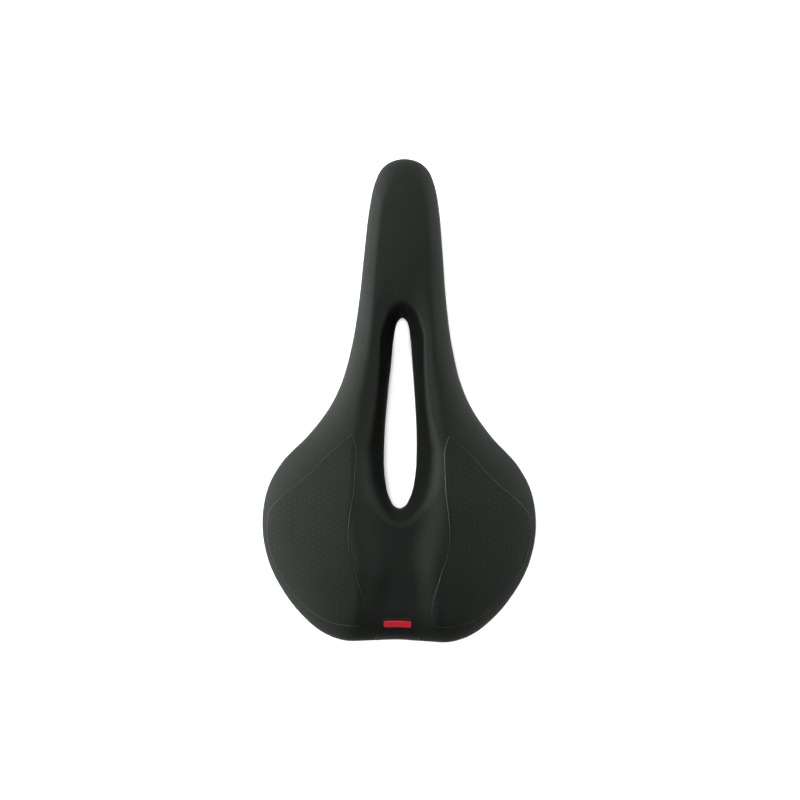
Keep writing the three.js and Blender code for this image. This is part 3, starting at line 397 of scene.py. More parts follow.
class SaddleRail(bpy.types.PropertyGroup):
    """Sizes of the rail and its fittings"""

    diameter: length("Diameter", "Of the rail", 7)
    spacing: length("Spacing", "Between the centres of the straight runs", 44)
    nose_spacing: length("Nose spacing", "Between the runs at the nose", 16)
    bend: length("Bend", "Radius of the bends", 25)
    clamp_start: length("Clamp start", "Start of the straight runs, from the tail", 84)
    clamp_end: length("Clamp end", "End of the straight runs, from the tail", 168)
    nose: length("Nose", "Bend under the nose, from the tail", 248)
    nose_run: length("Nose run", "Level run behind that bend", 26)
    end: length("End", "Rear ends, from the tail", 24)
    end_run: length("End run", "Run in front of a rear end", 23)
    end_spread: length("End spread", "Rear ends, from the middle", 35)
    end_turn: length("End turn", "How far the end runs splay", 4)
    end_rise: length("End rise", "How far the end runs rise", 4)
    socket_roof: length("Socket roof", "Bracket over the rail end", 1.5)
    mark_spacing: length("Mark spacing", "Between the position marks", 5)
    mark_width: length("Mark width", "Of one position mark", 0.6)
    mark_stand: length("Mark stand", "Thickness of the paint of a mark", 0.04)
    mark_first: length("First mark", "In front of the start of a straight run", 12)
    mark_last: length("Last mark", "Behind the end of a straight run", 14)
    screw_head_radius: length("Screw head radius", "Of a cap screw", 3.4)
    screw_head_height: length("Screw head height", "Of a cap screw", 2.2)
    screw_radius: length("Screw radius", "Of its shank", 1.75)
    screw_key: length("Screw key", "Half width across flats of the socket", 1.3)
    screw_key_depth: length("Screw key depth", "Of the socket", 1.3)
    screw_edge: length("Screw edge", "Rounding of the head", 0.5)
    key_edge: length("Key edge", "Width of the bevel round the socket", 0.3)
    key_edge_depth: length("Key edge depth", "Depth of that bevel", 0.25)


class SaddleFinish(bpy.types.PropertyGroup):
    """Colours of the materials"""

    cover: colour("Cover", "Smooth synthetic cover", "#141915")
    panel: colour("Panel", "Embossed wing panels", "#141915")
    line: colour("Line", "Welded lines round the panels", "#1c201c")
    badge: colour("Badge", "Moulded patch on the tail", "#111412")
    bar: colour("Bar", "Red bar on the badge", "#d4202f")
    foam: colour("Foam", "Padding", "#3a3a38")
    gel: colour("Gel", "Inserts under the sit bones", "#6f7f8a")
    shell: colour("Shell", "Moulded shell", "#17181a")
    trim: colour("Trim", "Ring under the cut-out", "#1c1d1f")
    rail: colour("Rail", "Coated rail", "#1b1c1f")
    bracket: colour("Bracket", "Moulded brackets and clip", "#1a1b1d")
    screw: colour("Screw", "Plated screws", "#9a9ca0")
    floor: colour("Floor", "Pale floor", "#f2f2f0")


class SaddleStage(bpy.types.PropertyGroup):
    """Floor, light and camera"""

    floor_size: length("Floor size", "Side of the floor", 6000)
    floor_gap: length("Floor gap", "Between the rail and the floor", 0.2)
    lens: number("Lens", "Focal length of the camera, in millimetres", 100)
    sensor: number("Sensor", "Width of the camera's sensor, in millimetres", 36)
    camera_level: length("Camera level", "Height of the edge of the saddle", 42)
    camera_height: length("Camera height", "Above the edge of the saddle", 1241)
    camera_aside: length("Camera aside", "Of the middle of the saddle", -0.62)
    camera_ahead: length("Camera ahead", "Of the middle of the saddle", -0.35)
    camera_roll: angle("Camera roll", "Lean of the saddle in the picture", 0.912)
    left_power: number("Left power", "Softbox to the left, in watts", 112)
    left_azimuth: angle("Left azimuth", "Of that softbox, from the right towards the nose", 172)
    left_elevation: angle("Left elevation", "Of the middle of that softbox", 5)
    right_power: number("Right power", "Softbox to the right, in watts", 48)
    right_azimuth: angle("Right azimuth", "Of that softbox", 22)
    right_elevation: angle("Right elevation", "Of the middle of that softbox", 5)
    high_power: number("High power", "Softbox above the front left, in watts", 51)
    high_azimuth: angle("High azimuth", "Of that softbox", 120)
    high_elevation: angle("High elevation", "Of the middle of that softbox", 60)
    lamp_distance: length("Lamp distance", "Of the softboxes", 2200)
    lamp_width: length("Lamp width", "Of the softboxes, and height of the high one", 800)
    lamp_height: length("Lamp height", "Of the two low softboxes", 200)
    floor_power: number("Floor power", "Lamp for the floor alone, in watts", 60)
    floor_lamp_height: length("Floor lamp height", "Above the floor", 2400)
    floor_lamp_size: length("Floor lamp size", "Side of that lamp", 300)
    sky_low: number("Low sky", "Strength of the room's light at the horizon", 0.02)
    sky_high: number("High sky", "Strength of the room's light overhead", 0.03)
    sky_height: number("Sky height", "From where up the high sky is reached, 1 being straight up", 0.7)


def smooth_table(rows):
    """A smooth curve through (place, value) rows that never overshoots: cubic pieces, each row's slope being
    the harmonic mean of the slopes beside it, or none at a turning point.
    """
    place, value = np.array(rows, dtype=float).T
    steps = np.diff(value) / np.diff(place)
    before = np.concatenate([steps[:1], steps])
    after = np.concatenate([steps, steps[-1:]])
    rising = before * after > 0
    slope = np.where(rising, 2 * before * after / np.where(rising, before + after, 1), 0)

    def curve(at):
        at = np.clip(at, place[0], place[-1])
        i = np.clip(np.searchsorted(place, at, side="right") - 1, 0, len(place) - 2)
        span = place[i + 1] - place[i]
        s = (at - place[i]) / span
        bulge = s * (1 - s) ** 2 * slope[i] + s * s * (s - 1) * slope[i + 1]
        return value[i] + (value[i + 1] - value[i]) * s * s * (3 - 2 * s) + span * bulge

    return curve


def smooth_path(points, closed=False):
    """A smooth curve through points, as a function of the share of its length: Catmull-Rom pieces whose
    inner knots are spaced by the square root of the distances.
    """
    p = np.array(points, dtype=float)
    if closed:
        p = np.concatenate([p[-1:], p, p[:2]])
    else:
        p = np.concatenate([2 * p[:1] - p[1:2], p, 2 * p[-1:] - p[-2:-1]])
    p0, p1, p2, p3 = p[:-3], p[1:-2], p[2:-1], p[3:]
    t0, t1, t2 = (np.sqrt(np.linalg.norm(b - a, axis=1))[:, None] for a, b in ((p0, p1), (p1, p2), (p2, p3)))
    m1 = ((p1 - p0) / t0 - (p2 - p0) / (t0 + t1) + (p2 - p1) / t1) * t1
    m2 = ((p2 - p1) / t1 - (p3 - p1) / (t1 + t2) + (p3 - p2) / t2) * t1
    s = (np.arange(OUTLINE_STEPS) / OUTLINE_STEPS)[None, :, None]
    a, b, c, d = (v[:, None, :] for v in (p1, m1, -3 * p1 + 3 * p2 - 2 * m1 - m2, 2 * p1 - 2 * p2 + m1 + m2))
    samples = (a + b * s + c * s * s + d * s**3).reshape(-1, p.shape[1])
    samples = np.concatenate([samples, p2[-1:]])
    along = np.concatenate([[0], np.cumsum(np.linalg.norm(np.diff(samples, axis=0), axis=1))])

    def at(share):
        place = np.asarray(share) * along[-1]
        return np.stack([np.interp(place, along, samples[:, k]) for k in range(samples.shape[1])], axis=-1)

    return at


def smooth_step(s):
    """From 0 to 1 with level ends: 3 s squared less 2 s cubed."""
    s = np.clip(s, 0, 1)
    return s * s * (3 - 2 * s)


def rounded(run, power=ROUNDNESS):
    """A rounded edge's share of its drop: 1 at the edge, where run is 1, and 0 where run is 0."""
    run = np.clip(run, 0, 1)
    return 1 - (1 - run**power) ** (1 / power)


def unit(vectors):
    return vectors / np.maximum(np.linalg.norm(vectors, axis=-1, keepdims=True), TINY)


class Body:
    """The saddle's form: outlines, heights and sections, from the sizes of the solids."""

    def __init__(self, form):
        self.form = form
        half = [(x * form.width / 2, y * form.length) for x, y in outer_shares]
        hole = [
            (x * form.cutout_width / 2, form.cutout_start + y * form.cutout_length) for x, y in cutout_shares
        ]
        self.outer = smooth_path(half + [(-x, y) for x, y in half[-2:0:-1]], closed=True)
        self.cutout = smooth_path(hole + [(-x, y) for x, y in hole[-2:0:-1]], closed=True)
        tables = {
            "tail_rise": tail_rise_shares, "waist_drop": waist_drop_shares, "nose_drop": nose_drop_shares,
            "edge_reach": edge_reach_shares, "edge_drop": edge_drop_shares, "lip_reach": lip_reach_shares,
            "rim_depth": rim_depth_shares, "foam": foam_shares, "channel_width": channel_width_shares,
            "channel_depth": channel_depth_shares, "channel_slope": channel_slope_shares,
            "facing": facing_shares, "section": section_shares,
        }
        self.share = {name: smooth_table(rows) for name, rows in tables.items()}
        self.shell_inset = form.skirt_tuck + form.skin + 2 * form.clearance + form.side_foam
        self.shell_inner = form.skin + 2 * form.clearance + form.lip_foam

    def crest(self, y):
        """Height of the middle: seat height and the tail's rise, less the drops of waist and nose."""
        f, share, at = self.form, self.share, y / self.form.length
        height = f.seat_height + f.tail_rise * share["tail_rise"](at)
        return height - f.waist_drop * share["waist_drop"](at) - f.nose_drop * share["nose_drop"](at)

    def crown(self, plan):
        """The crest, less a fall that grows with the square of the distance from the middle."""
        return self.crest(plan[..., 1]) - self.form.wing_fall * (2 * plan[..., 0] / self.form.width) ** 2

    def height(self, plan):
        """The crown, less the channel: level inside, and a smooth step up over its sloping walls."""
        f, at = self.form, plan[..., 1] / self.form.length
        half = f.channel_width / 2 * self.share["channel_width"](at)
        slope = f.channel_slope * self.share["channel_slope"](at)
        wall = smooth_step((np.abs(plan[..., 0]) - half) / slope + 0.5)
        return self.crown(plan) - f.channel_depth * self.share["channel_depth"](at) * (1 - wall)

    def shell_under(self, plan):
        """Underside of the shell plate: the crown, less cover, foam, clearances and the plate. The foam
        thins out with the square of the distance from the middle.
        """
        f = self.form
        foam = f.foam_depth * self.share["foam"](plan[..., 1] / f.length)
        foam = foam - f.foam_taper * (2 * plan[..., 0] / f.width) ** 2
        return self.crown(plan) - f.skin - 2 * f.clearance - foam - f.shell

    def half_width(self, y):
        """Half the width of the outer outline at y."""
        points = self.outer(np.linspace(0, 0.5, WIDTH_STEPS))
        y_up = np.maximum.accumulate(points[:, 1])
        return np.interp(y, y_up, points[:, 0])


class Sections:
    """Sections at the given turns: 0 at the tail, a half at the nose, over the right side. Seen from above,
    each is a cubic curve whose two handles stand square to the outlines, measured by its length.
    """

    def __init__(self, body, turn):
        self.body = body
        f = body.form
        turn = np.asarray(turn, dtype=float) % 1
        right = turn <= 0.5
        outer_share = body.share["section"](2 * np.minimum(turn, 1 - turn))

        def place(outline, share):
            loop = np.where(right, share / 2, 1 - share / 2)
            tangent = unit(outline((loop + TURN_STEP) % 1) - outline((loop - TURN_STEP) % 1))
            return outline(loop), np.stack([tangent[:, 1], -tangent[:, 0]], axis=-1)

        self.outer, self.outer_out = place(body.outer, outer_share)
        self.inner, self.inner_out = place(body.cutout, body.share["facing"](outer_share))
        apart = np.minimum(np.linalg.norm(self.outer - self.inner, axis=1), f.handle_limit)
        handle = HANDLE_SHARE * apart[:, None]
        start, end = self.inner + self.inner_out * handle, self.outer - self.outer_out * handle
        self.corners = (self.inner, start, end, self.outer)
        curve = self.curve(np.broadcast_to(np.linspace(0, 1, CURVE_STEPS + 1), (len(turn), CURVE_STEPS + 1)))
        pieces = np.linalg.norm(np.diff(curve, axis=1), axis=2)
        run = np.concatenate([np.zeros((len(turn), 1)), np.cumsum(pieces, axis=1)], axis=1)
        self.span = run[:, -1]
        self.run = run / self.span[:, None]
        at = self.outer[:, 1] / f.length
        self.reach = np.minimum(f.edge_reach * body.share["edge_reach"](at), EDGE_SHARE * self.span)
        lip_reach = f.lip_reach * body.share["lip_reach"](self.inner[:, 1] / f.length)
        self.lip = np.minimum(lip_reach, LIP_SHARE * self.span)
        self.drop = f.edge_drop * body.share["edge_drop"](at)
        rim_place = self.from_outer(np.full((len(turn), 1), body.shell_inset))[:, 0]
        self.rim = body.shell_under(rim_place) - f.rim_depth * body.share["rim_depth"](at)
        self.inner_bottom = body.shell_under(self.inner) - f.clearance - f.skin
        self.outer_bottom = self.rim - f.clearance - f.skin

    def curve(self, t):
        """The cubic curve through its four corners, at t."""
        a, b, c, d = (corner[:, None, :] for corner in self.corners)
        t = t[..., None]
        return a * (1 - t) ** 3 + 3 * b * t * (1 - t) ** 2 + 3 * c * t * t * (1 - t) + d * t**3

    def along(self, distance):
        """Places at distances from the cut-out, one row of distances for each section. The rows are moved
        apart by two, so that one interpolation serves them all.
        """
        row = 2.0 * np.arange(len(self.span))[:, None]
        t_table = np.linspace(0, 1, CURVE_STEPS + 1)[None, :] + row
        share = np.clip(distance / self.span[:, None], 0, 1)
        t = np.interp((share + row).ravel(), (self.run + row).ravel(), t_table.ravel())
        return self.curve(t.reshape(share.shape) - row)

    def from_outer(self, distance):
        return self.along(self.span[:, None] - distance)

    def from_inner(self, distance):
        return self.along(distance)


def skin_points(cut, rows):
    """The cover's outer face. Row 0 to 1 goes up the wall of the cut-out, 1 to 2 over its lip, 2 to 3 across
    the middle, 3 to 4 over the outer edge and 4 to 5 down the skirt. Over the lip and the edge the distance
    follows a quarter turn and the height falls by the rounded edge's share.
    """
    body, f = cut.body, cut.body.form
    row = np.broadcast_to(rows, (len(cut.span), len(rows)))
    lip_angle = np.clip(row - 1, 0, 1) * np.pi / 2
    edge_angle = np.clip(row - 3, 0, 1) * np.pi / 2
    lip, reach, span = cut.lip[:, None], cut.reach[:, None], cut.span[:, None]
    near = lip * (1 - np.cos(lip_angle))
    middle = lip + (span - reach - lip) * np.clip(row - 2, 0, 1)
    far = span - reach * (1 - np.sin(edge_angle))
    plan = cut.along(np.where(row <= 2, near, np.where(row <= 3, middle, far)))
    lip_fall = f.lip_drop * rounded(np.cos(lip_angle), LIP_ROUNDNESS)
    edge_fall = cut.drop[:, None] * rounded(np.sin(edge_angle))
    z = body.height(plan) - lip_fall - edge_fall
    bottom = cut.inner_bottom[:, None]
    z = np.where(row < 1, bottom + (z - bottom) * row, z)
    down = np.clip(row - 4, 0, 1)
    plan = plan - cut.outer_out[:, None, :] * (f.skirt_tuck * down * down)[..., None]
    z = z + (cut.outer_bottom[:, None] - z) * down
    return np.concatenate([plan, z[..., None]], axis=-1)


def skin_rows(steps):
    """Rows of the outer face, with the given steps on its wall, lip, middle, edge and skirt."""
    stretches = [np.linspace(start, start + 1, count + 1)[1:] for start, count in enumerate(steps)]
    return np.concatenate([[0], *stretches])


def grid_normals(grid):
    """Normals of a grid whose first side goes once round: the cross product of its two central differences.
    """
    across = np.gradient(grid, axis=1)
    around = np.roll(grid, -1, axis=0) - np.roll(grid, 1, axis=0)
    return unit(np.cross(across, around))


def inset_skin(cut, grid, depth):
    """The outer face moved in along its normals, with its two lower edges raised by the same depth."""
    moved = grid - grid_normals(grid) * depth
    moved[:, 0, 2] = cut.inner_bottom + depth
    moved[:, -1, 2] = cut.outer_bottom + depth
    return moved


def with_height(plan, z):
    return np.concatenate([plan, np.broadcast_to(z, plan.shape[:-1])[..., None]], axis=-1)


def skin_above(body, plan):
    """Height of the cover's outer face over places seen from above, and how much further the face has run
    than the plan, outwards. The section through a place and the distance along it come from the nearest of a
    coarse net and a few Newton steps.
    """
    flat = plan.reshape(-1, 2)
    net_turn = np.arange(NET_TURNS) / NET_TURNS
    net_share = np.linspace(0, 1, NET_ROWS)
    net_cut = Sections(body, net_turn)
    net = net_cut.from_outer(net_share[None, :] * net_cut.span[:, None])
    found = np.concatenate([
        np.argmin(((part[:, None, :] - net.reshape(1, -1, 2)) ** 2).sum(axis=2), axis=1)
        for part in np.array_split(flat, max(len(flat) // NET_BLOCK, 1))
    ])
    turn = net_turn[found // NET_ROWS].copy()
    inward = net_share[found % NET_ROWS] * net_cut.span[found // NET_ROWS]

    def place(at_turn, at_inward):
        return Sections(body, at_turn).from_outer(at_inward[:, None])[:, 0]

    for _ in range(NEWTON_STEPS):
        here = place(turn, inward)
        by_turn = (place(turn + NEWTON_TURN, inward) - here) / NEWTON_TURN
        by_inward = (place(turn, inward + NEWTON_INWARD) - here) / NEWTON_INWARD
        miss = flat - here
        area = by_turn[:, 0] * by_inward[:, 1] - by_turn[:, 1] * by_inward[:, 0]
        area = np.where(np.abs(area) < NEWTON_AREA, NEWTON_AREA, area)
        turn_move = (miss[:, 0] * by_inward[:, 1] - miss[:, 1] * by_inward[:, 0]) / area
        inward_move = (by_turn[:, 0] * miss[:, 1] - by_turn[:, 1] * miss[:, 0]) / area
        turn = (turn + np.clip(turn_move, -NEWTON_LIMIT, NEWTON_LIMIT)) % 1
        inward = np.maximum(inward + np.clip(inward_move, -NEWTON_LIMIT, NEWTON_LIMIT), 0)
    cut = Sections(body, turn)
    run = 1 - inward / cut.reach
    lip_run = 1 - (cut.span - inward) / cut.lip
    z = body.height(flat) - cut.drop * rounded(run) - body.form.lip_drop * rounded(lip_run, LIP_ROUNDNESS)
    runs = np.linspace(0, 1, RUN_STEPS)
    slope = np.gradient(rounded(runs), runs)
    longer = np.cumsum(np.hypot(1, slope * RUN_DROP_SHARE) - 1) / RUN_STEPS
    extra = np.interp(np.clip(run, 0, RUN_END), runs, longer)
    ahead = cut.outer_out * (extra * cut.reach)[:, None]
    return z.reshape(plan.shape[:-1]), ahead.reshape(plan.shape)


def new_mesh(name, points, faces, material, sharp=SHARP_EDGE, placed=True):
    """A mesh object in the frame from points measured from the tail, with edges sharper than an angle kept.
    """
    points = np.array(points, dtype=float).reshape(-1, 3)
    if placed:
        points[:, 1] -= bpy.context.scene.saddle_form.length / 2
    mesh = bpy.data.meshes.new(name)
    mesh.vertices.add(len(points))
    mesh.vertices.foreach_set("co", points.ravel())
    counts = np.concatenate([np.full(len(block), block.shape[1]) for block in faces])
    starts = np.concatenate([[0], np.cumsum(counts)[:-1]])
    mesh.loops.add(int(counts.sum()))
    corners = np.concatenate([block.ravel() for block in faces])
    mesh.loops.foreach_set("vertex_index", corners.astype(np.int32))
    mesh.polygons.add(len(counts))
    mesh.polygons.foreach_set("loop_start", starts.astype(np.int32))
    mesh.polygons.foreach_set("use_smooth", np.ones(len(counts), dtype=bool))
    mesh.update(calc_edges=True)
    mesh.validate()
    mesh.set_sharp_from_angle(angle=np.radians(sharp))
    piece = bpy.data.objects.new(name, mesh)
    bpy.context.scene.collection.objects.link(piece)
    piece.data.materials.append(material)
    return piece


def grid_faces(rows, columns, around=False, across=False, first=0):
    """Four-sided faces of a grid of points, closed round its first side, its second, or both."""
    i = np.arange(rows if around else rows - 1)[:, None]
    j = np.arange(columns if across else columns - 1)[None, :]
    i1, j1 = (i + 1) % rows, (j + 1) % columns
    faces = np.stack([i * columns + j, i1 * columns + j, i1 * columns + j1, i * columns + j1], axis=-1)
    return faces.reshape(-1, 4) + first


def ring_piece(name, profile, material, sharp=SHARP_RING):
    """A closed ring: one closed profile for each section, once round. Profiles run outwards on top."""
    rows, columns = profile.shape[:2]
    return new_mesh(name, profile, [grid_faces(rows, columns, True, True)[:, ::-1]], material, sharp)


def slab_piece(name, top, bottom, material):
    """A closed slab: a top and a bottom grid joined along their edges. Both run to the right, then ahead."""
    rows, columns = top.shape[:2]
    count = rows * columns
    top_faces = grid_faces(rows, columns)
    bottom_faces = top_faces[:, ::-1] + count
    index = np.arange(count).reshape(rows, columns)
    loop = np.concatenate([index[:, 0], index[-1, 1:], index[-2::-1, -1], index[0, -2:0:-1]])
    after = np.roll(loop, -1)
    side = np.stack([loop, loop + count, after + count, after], axis=-1)
    points = np.stack([top.reshape(-1, 3), bottom.reshape(-1, 3)])
    return new_mesh(name, points, [top_faces, bottom_faces, side], material, SHARP_SLAB)


def tube_points(path, radius, sides, closed=False, up=(0, 0, 1)):
    """Rings of a round tube round a path: at each point, a circle in the plane of the level side and the up
    that is square to the path.
    """
    before = np.roll(path, 1, axis=0) if closed else np.concatenate([path[:1], path[:-1]])
    after = np.roll(path, -1, axis=0) if closed else np.concatenate([path[1:], path[-1:]])
    tangent = unit(after - before)
    side = unit(np.cross(tangent, np.array(up, dtype=float)))
    high = np.cross(side, tangent)
    angle = 2 * np.pi * np.arange(sides)[None, :, None] / sides
    radius = np.broadcast_to(radius, (len(path),))[:, None, None]
    return path[:, None, :] + radius * (side[:, None, :] * np.cos(angle) + high[:, None, :] * np.sin(angle))


def turned_points(profile, sides, centre):
    """A turned body standing upright: each (radius, height) of a profile goes once round the centre. A
    profile may give its radii for each side.
    """
    angle = 2 * np.pi * np.arange(sides) / sides
    radius = np.stack([np.broadcast_to(r, sides) for r, _ in profile], axis=1)
    z = np.array([height for _, height in profile])[None, :] + np.zeros((sides, 1))
    x = centre[0] + radius * np.cos(angle)[:, None]
    y = centre[1] + radius * np.sin(angle)[:, None]
    return np.stack([x, y, z], axis=-1)


def closed_sweep(name, rings, material, sharp):
    """A body from a row of closed rings, with both ends closed by a fan to the middle of the end ring."""
    count, sides = rings.shape[:2]
    ends = np.stack([rings[0].mean(axis=0), rings[-1].mean(axis=0)])
    total = count * sides
    k = np.arange(sides)
    low = np.stack([np.full(sides, total), (k + 1) % sides, k], axis=-1)
    high = np.stack([np.full(sides, total + 1), total - sides + k, total - sides + (k + 1) % sides], axis=-1)
    body_faces = grid_faces(count, sides, False, True)
    points = np.concatenate([rings.reshape(-1, 3), ends])
    return face_outwards(new_mesh(name, points, [body_faces, low, high], material, sharp))


def face_outwards(piece):
    """Turns a closed piece's faces outwards where it was made the other way round."""
    work = bmesh.new()
    work.from_mesh(piece.data)
    bmesh.ops.recalc_face_normals(work, faces=work.faces)
    work.to_mesh(piece.data)
    work.free()
    return piece


def joined(name, pieces):
    """Several pieces as one."""
    first = pieces[0]
    with bpy.context.temp_override(active_object=first, selected_editable_objects=pieces):
        bpy.ops.object.join()
    first.name = name
    return first


def mirrored_copy(name, piece):
    """The same piece on the left."""
    copy = piece.copy()
    copy.data = piece.data.copy()
    copy.name = name
    bpy.context.scene.collection.objects.link(copy)
    count = len(copy.data.vertices)
    points = np.empty(count * 3)
    copy.data.vertices.foreach_get("co", points)
    points[::3] *= -1
    copy.data.vertices.foreach_set("co", points)
    copy.data.flip_normals()
    copy.data.update()
    return copy


def settle(piece, slot, *nodes):
    """Puts a piece on the body and hides the solids that it stands for. slot is not used."""
    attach(piece, "root")
    if nodes:
        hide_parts(*nodes)
    return piece


def add_node(tree, kind, inputs=None, **settings):
    """Adds a node with its settings. inputs holds values, or the sockets that are linked in."""
    node = tree.nodes.new(kind)
    for name, value in settings.items():
        setattr(node, name, value)
    for name, value in (inputs or {}).items():
        if isinstance(value, bpy.types.NodeSocket):
            tree.links.new(value, node.inputs[name])
        else:
            node.inputs[name].default_value = value
    return node


def begin_material(name, base, kind, **uniform):
    """An empty material with a shader whose uniform values stand on its own sockets. kind names its finish.
    """
    material = bpy.data.materials.new(name)
    material.use_nodes = True
    tree = material.node_tree
    tree.nodes.clear()
    roughness = finishes[kind][0]
    shader = add_node(tree, "ShaderNodeBsdfPrincipled", {"Base Color": (*base, 1), "Roughness": roughness})
    for socket, value in uniform.items():
        shader.inputs[socket.replace("_", " ").title().replace("Ior", "IOR")].default_value = value
    output = add_node(tree, "ShaderNodeOutputMaterial", {"Surface": shader.outputs["BSDF"]})
    output.is_active_output = True
    material.diffuse_color = (*base, 1)
    return material, tree, shader


def shaded_colour(tree, base, amount, factor):
    """The base colour made darker and lighter by an amount, where factor runs from 0 to 1."""
    dark = tuple(c * (1 - amount) for c in base) + (1,)
    light = tuple(min(c * (1 + amount), 1) for c in base) + (1,)
    mix = add_node(tree, "ShaderNodeMix", {"Factor": factor}, data_type="RGBA")
    mix.inputs["A"].default_value = dark
    mix.inputs["B"].default_value = light
    return mix.outputs["Result"]


def grain_bump(tree, kind, pebbles=True):
    """A bump of pebbles or of fine noise, with the real spacing and depth of the finish."""
    _, spacing, depth, strength = finishes[kind]
    place = add_node(tree, "ShaderNodeTexCoord").outputs["Object"]
    values = {"Vector": place, "Scale": 1 / (spacing * MM)}
    if pebbles:
        values["Smoothness"] = PEBBLE_SMOOTHNESS
        pattern = add_node(tree, "ShaderNodeTexVoronoi", values, feature="SMOOTH_F1")
        height = pattern.outputs["Distance"]
    else:
        values["Detail"] = NOISE_DETAIL
        pattern = add_node(tree, "ShaderNodeTexNoise", values)
        height = pattern.outputs["Fac"]
    values = {"Height": height, "Strength": strength, "Distance": depth * MM}
    return height, add_node(tree, "ShaderNodeBump", values).outputs["Normal"]


def mottled(tree, size):
    """Slow noise with the real size of its patches."""
    place = add_node(tree, "ShaderNodeTexCoord").outputs["Object"]
    values = {"Vector": place, "Scale": 1 / size, "Detail": NOISE_DETAIL}
    return add_node(tree, "ShaderNodeTexNoise", values).outputs["Fac"]


def ranged(tree, value, low, high):
    """A factor of 0 to 1 mapped to a range."""
    values = {"Value": value, "To Min": low, "To Max": high}
    return add_node(tree, "ShaderNodeMapRange", values).outputs["Result"]


def link_surface(tree, shader, tone, gloss, normal):
    """Links a changing tone, a changing roughness and a bump to the shader."""
    for socket, value in (("Base Color", tone), ("Roughness", gloss), ("Normal", normal)):
        tree.links.new(value, shader.inputs[socket])


def cover_material(finish):
    """Polyurethane-coated microfibre, pressed with a fine pebble grain: matt, with a soft wide sheen."""
    material, tree, shader = begin_material("polyurethane microfibre", finish.cover, "cover", **coated)
    height, normal = grain_bump(tree, "cover")
    tone = shaded_colour(tree, finish.cover, COVER_TONE, mottled(tree, COVER_PATCH))
    link_surface(tree, shader, tone, ranged(tree, height, *COVER_GLOSS), normal)
    return material


def panel_material(finish):
    """The same microfibre embossed with round cells: they are modelled, and their tops are rubbed smoother.
    Its colour is painted darker in the grooves and lighter on the cell tops: painted shade and painted
    highlight.
    """
    material, tree, shader = begin_material("embossed microfibre", finish.panel, "panel", **coated)
    cell = add_node(tree, "ShaderNodeAttribute", attribute_name="cell").outputs["Fac"]
    normal = grain_bump(tree, "panel")[1]
    # painted shade in the grooves and painted highlight on the cell tops, following the cell height
    tone = shaded_colour(tree, finish.panel, PANEL_PAINTED_CELL_SHADE, cell)
    link_surface(tree, shader, tone, ranged(tree, cell, *PANEL_GLOSS), normal)
    return material


def plain_material(name, base, kind, pebbles=False, variation=PLAIN_TONE, **uniform):
    """A plain finish with a fine bump of a real grain size and depth, and a slight change of tone and gloss.
    """
    material, tree, shader = begin_material(name, base, kind, **uniform)
    normal = grain_bump(tree, kind, pebbles)[1]
    patches = mottled(tree, PLAIN_PATCH)
    tone = shaded_colour(tree, base, variation, patches)
    roughness = finishes[kind][0]
    gloss = ranged(tree, patches, roughness - GLOSS_CHANGE, roughness + GLOSS_CHANGE)
    link_surface(tree, shader, tone, gloss, normal)
    return material


def line_material(finish):
    """Thermoplastic polyurethane, welded on as a thin line: paler and smoother than the cover."""
    return plain_material("welded polyurethane line", finish.line, "line", **urethane)


def badge_material(finish):
    """Thermoplastic polyurethane patch, moulded with a fine satin surface."""
    return plain_material("moulded polyurethane patch", finish.badge, "badge", **coated)


def bar_material(finish):
    """Thermoplastic polyurethane filled in with colour: smooth, with a soft gloss."""
    return plain_material("red polyurethane inlay", finish.bar, "bar", variation=0.05, **urethane)


def foam_material(finish):
    """Open polyurethane foam: fine pores and no gloss."""
    return plain_material("polyurethane foam", finish.foam, "foam", True, variation=0.2, **padding)


def gel_material(finish):
    """Soft polyurethane gel: smooth and a little translucent."""
    return plain_material("polyurethane gel", finish.gel, "gel", subsurface_weight=0.15, **urethane)


def shell_material(finish):
    """Glass-filled nylon, moulded in a spark-eroded tool: a fine even texture with a low satin gloss."""
    return plain_material("glass-filled nylon", finish.shell, "shell", True, variation=0.12, **moulded)


def trim_material(finish):
    """ABS, moulded with a satin surface."""
    return plain_material("satin abs", finish.trim, "trim", **moulded)


def rail_material(finish):
    """Steel tube under a black electrocoat: satin, with the slight waviness of a dipped coat."""
    coat = {"coat_weight": 0.2, "coat_roughness": 0.3}
    return plain_material("electrocoated steel", finish.rail, "rail", **urethane, **coat)


def mark_material(finish):
    """Pad-printed enamel for the position marks: thin and matt."""
    return plain_material("printed enamel mark", finish.line, "mark", **urethane)


def bracket_material(finish):
    """Nylon, moulded plain."""
    return plain_material("moulded nylon", finish.bracket, "bracket", **moulded)


def screw_material(finish):
    """Zinc-plated steel, turned and rolled: bright, with fine scratches."""
    return plain_material("zinc-plated steel", finish.screw, "screw", variation=0.08, metallic=1.0)


def floor_material(finish):
    """Painted board: pale and matt."""
    return plain_material("painted board", finish.floor, "floor", variation=0.004, **padding)


def soften(piece, width):
    """A small rounding along every sharp edge."""
    bevel = piece.modifiers.new("edge rounding", "BEVEL")
    bevel.width = width
    bevel.segments = BEVEL_STEPS
    bevel.limit_method = "ANGLE"
    bevel.angle_limit = np.radians(SHARP_SOLID)
    bevel.harden_normals = True


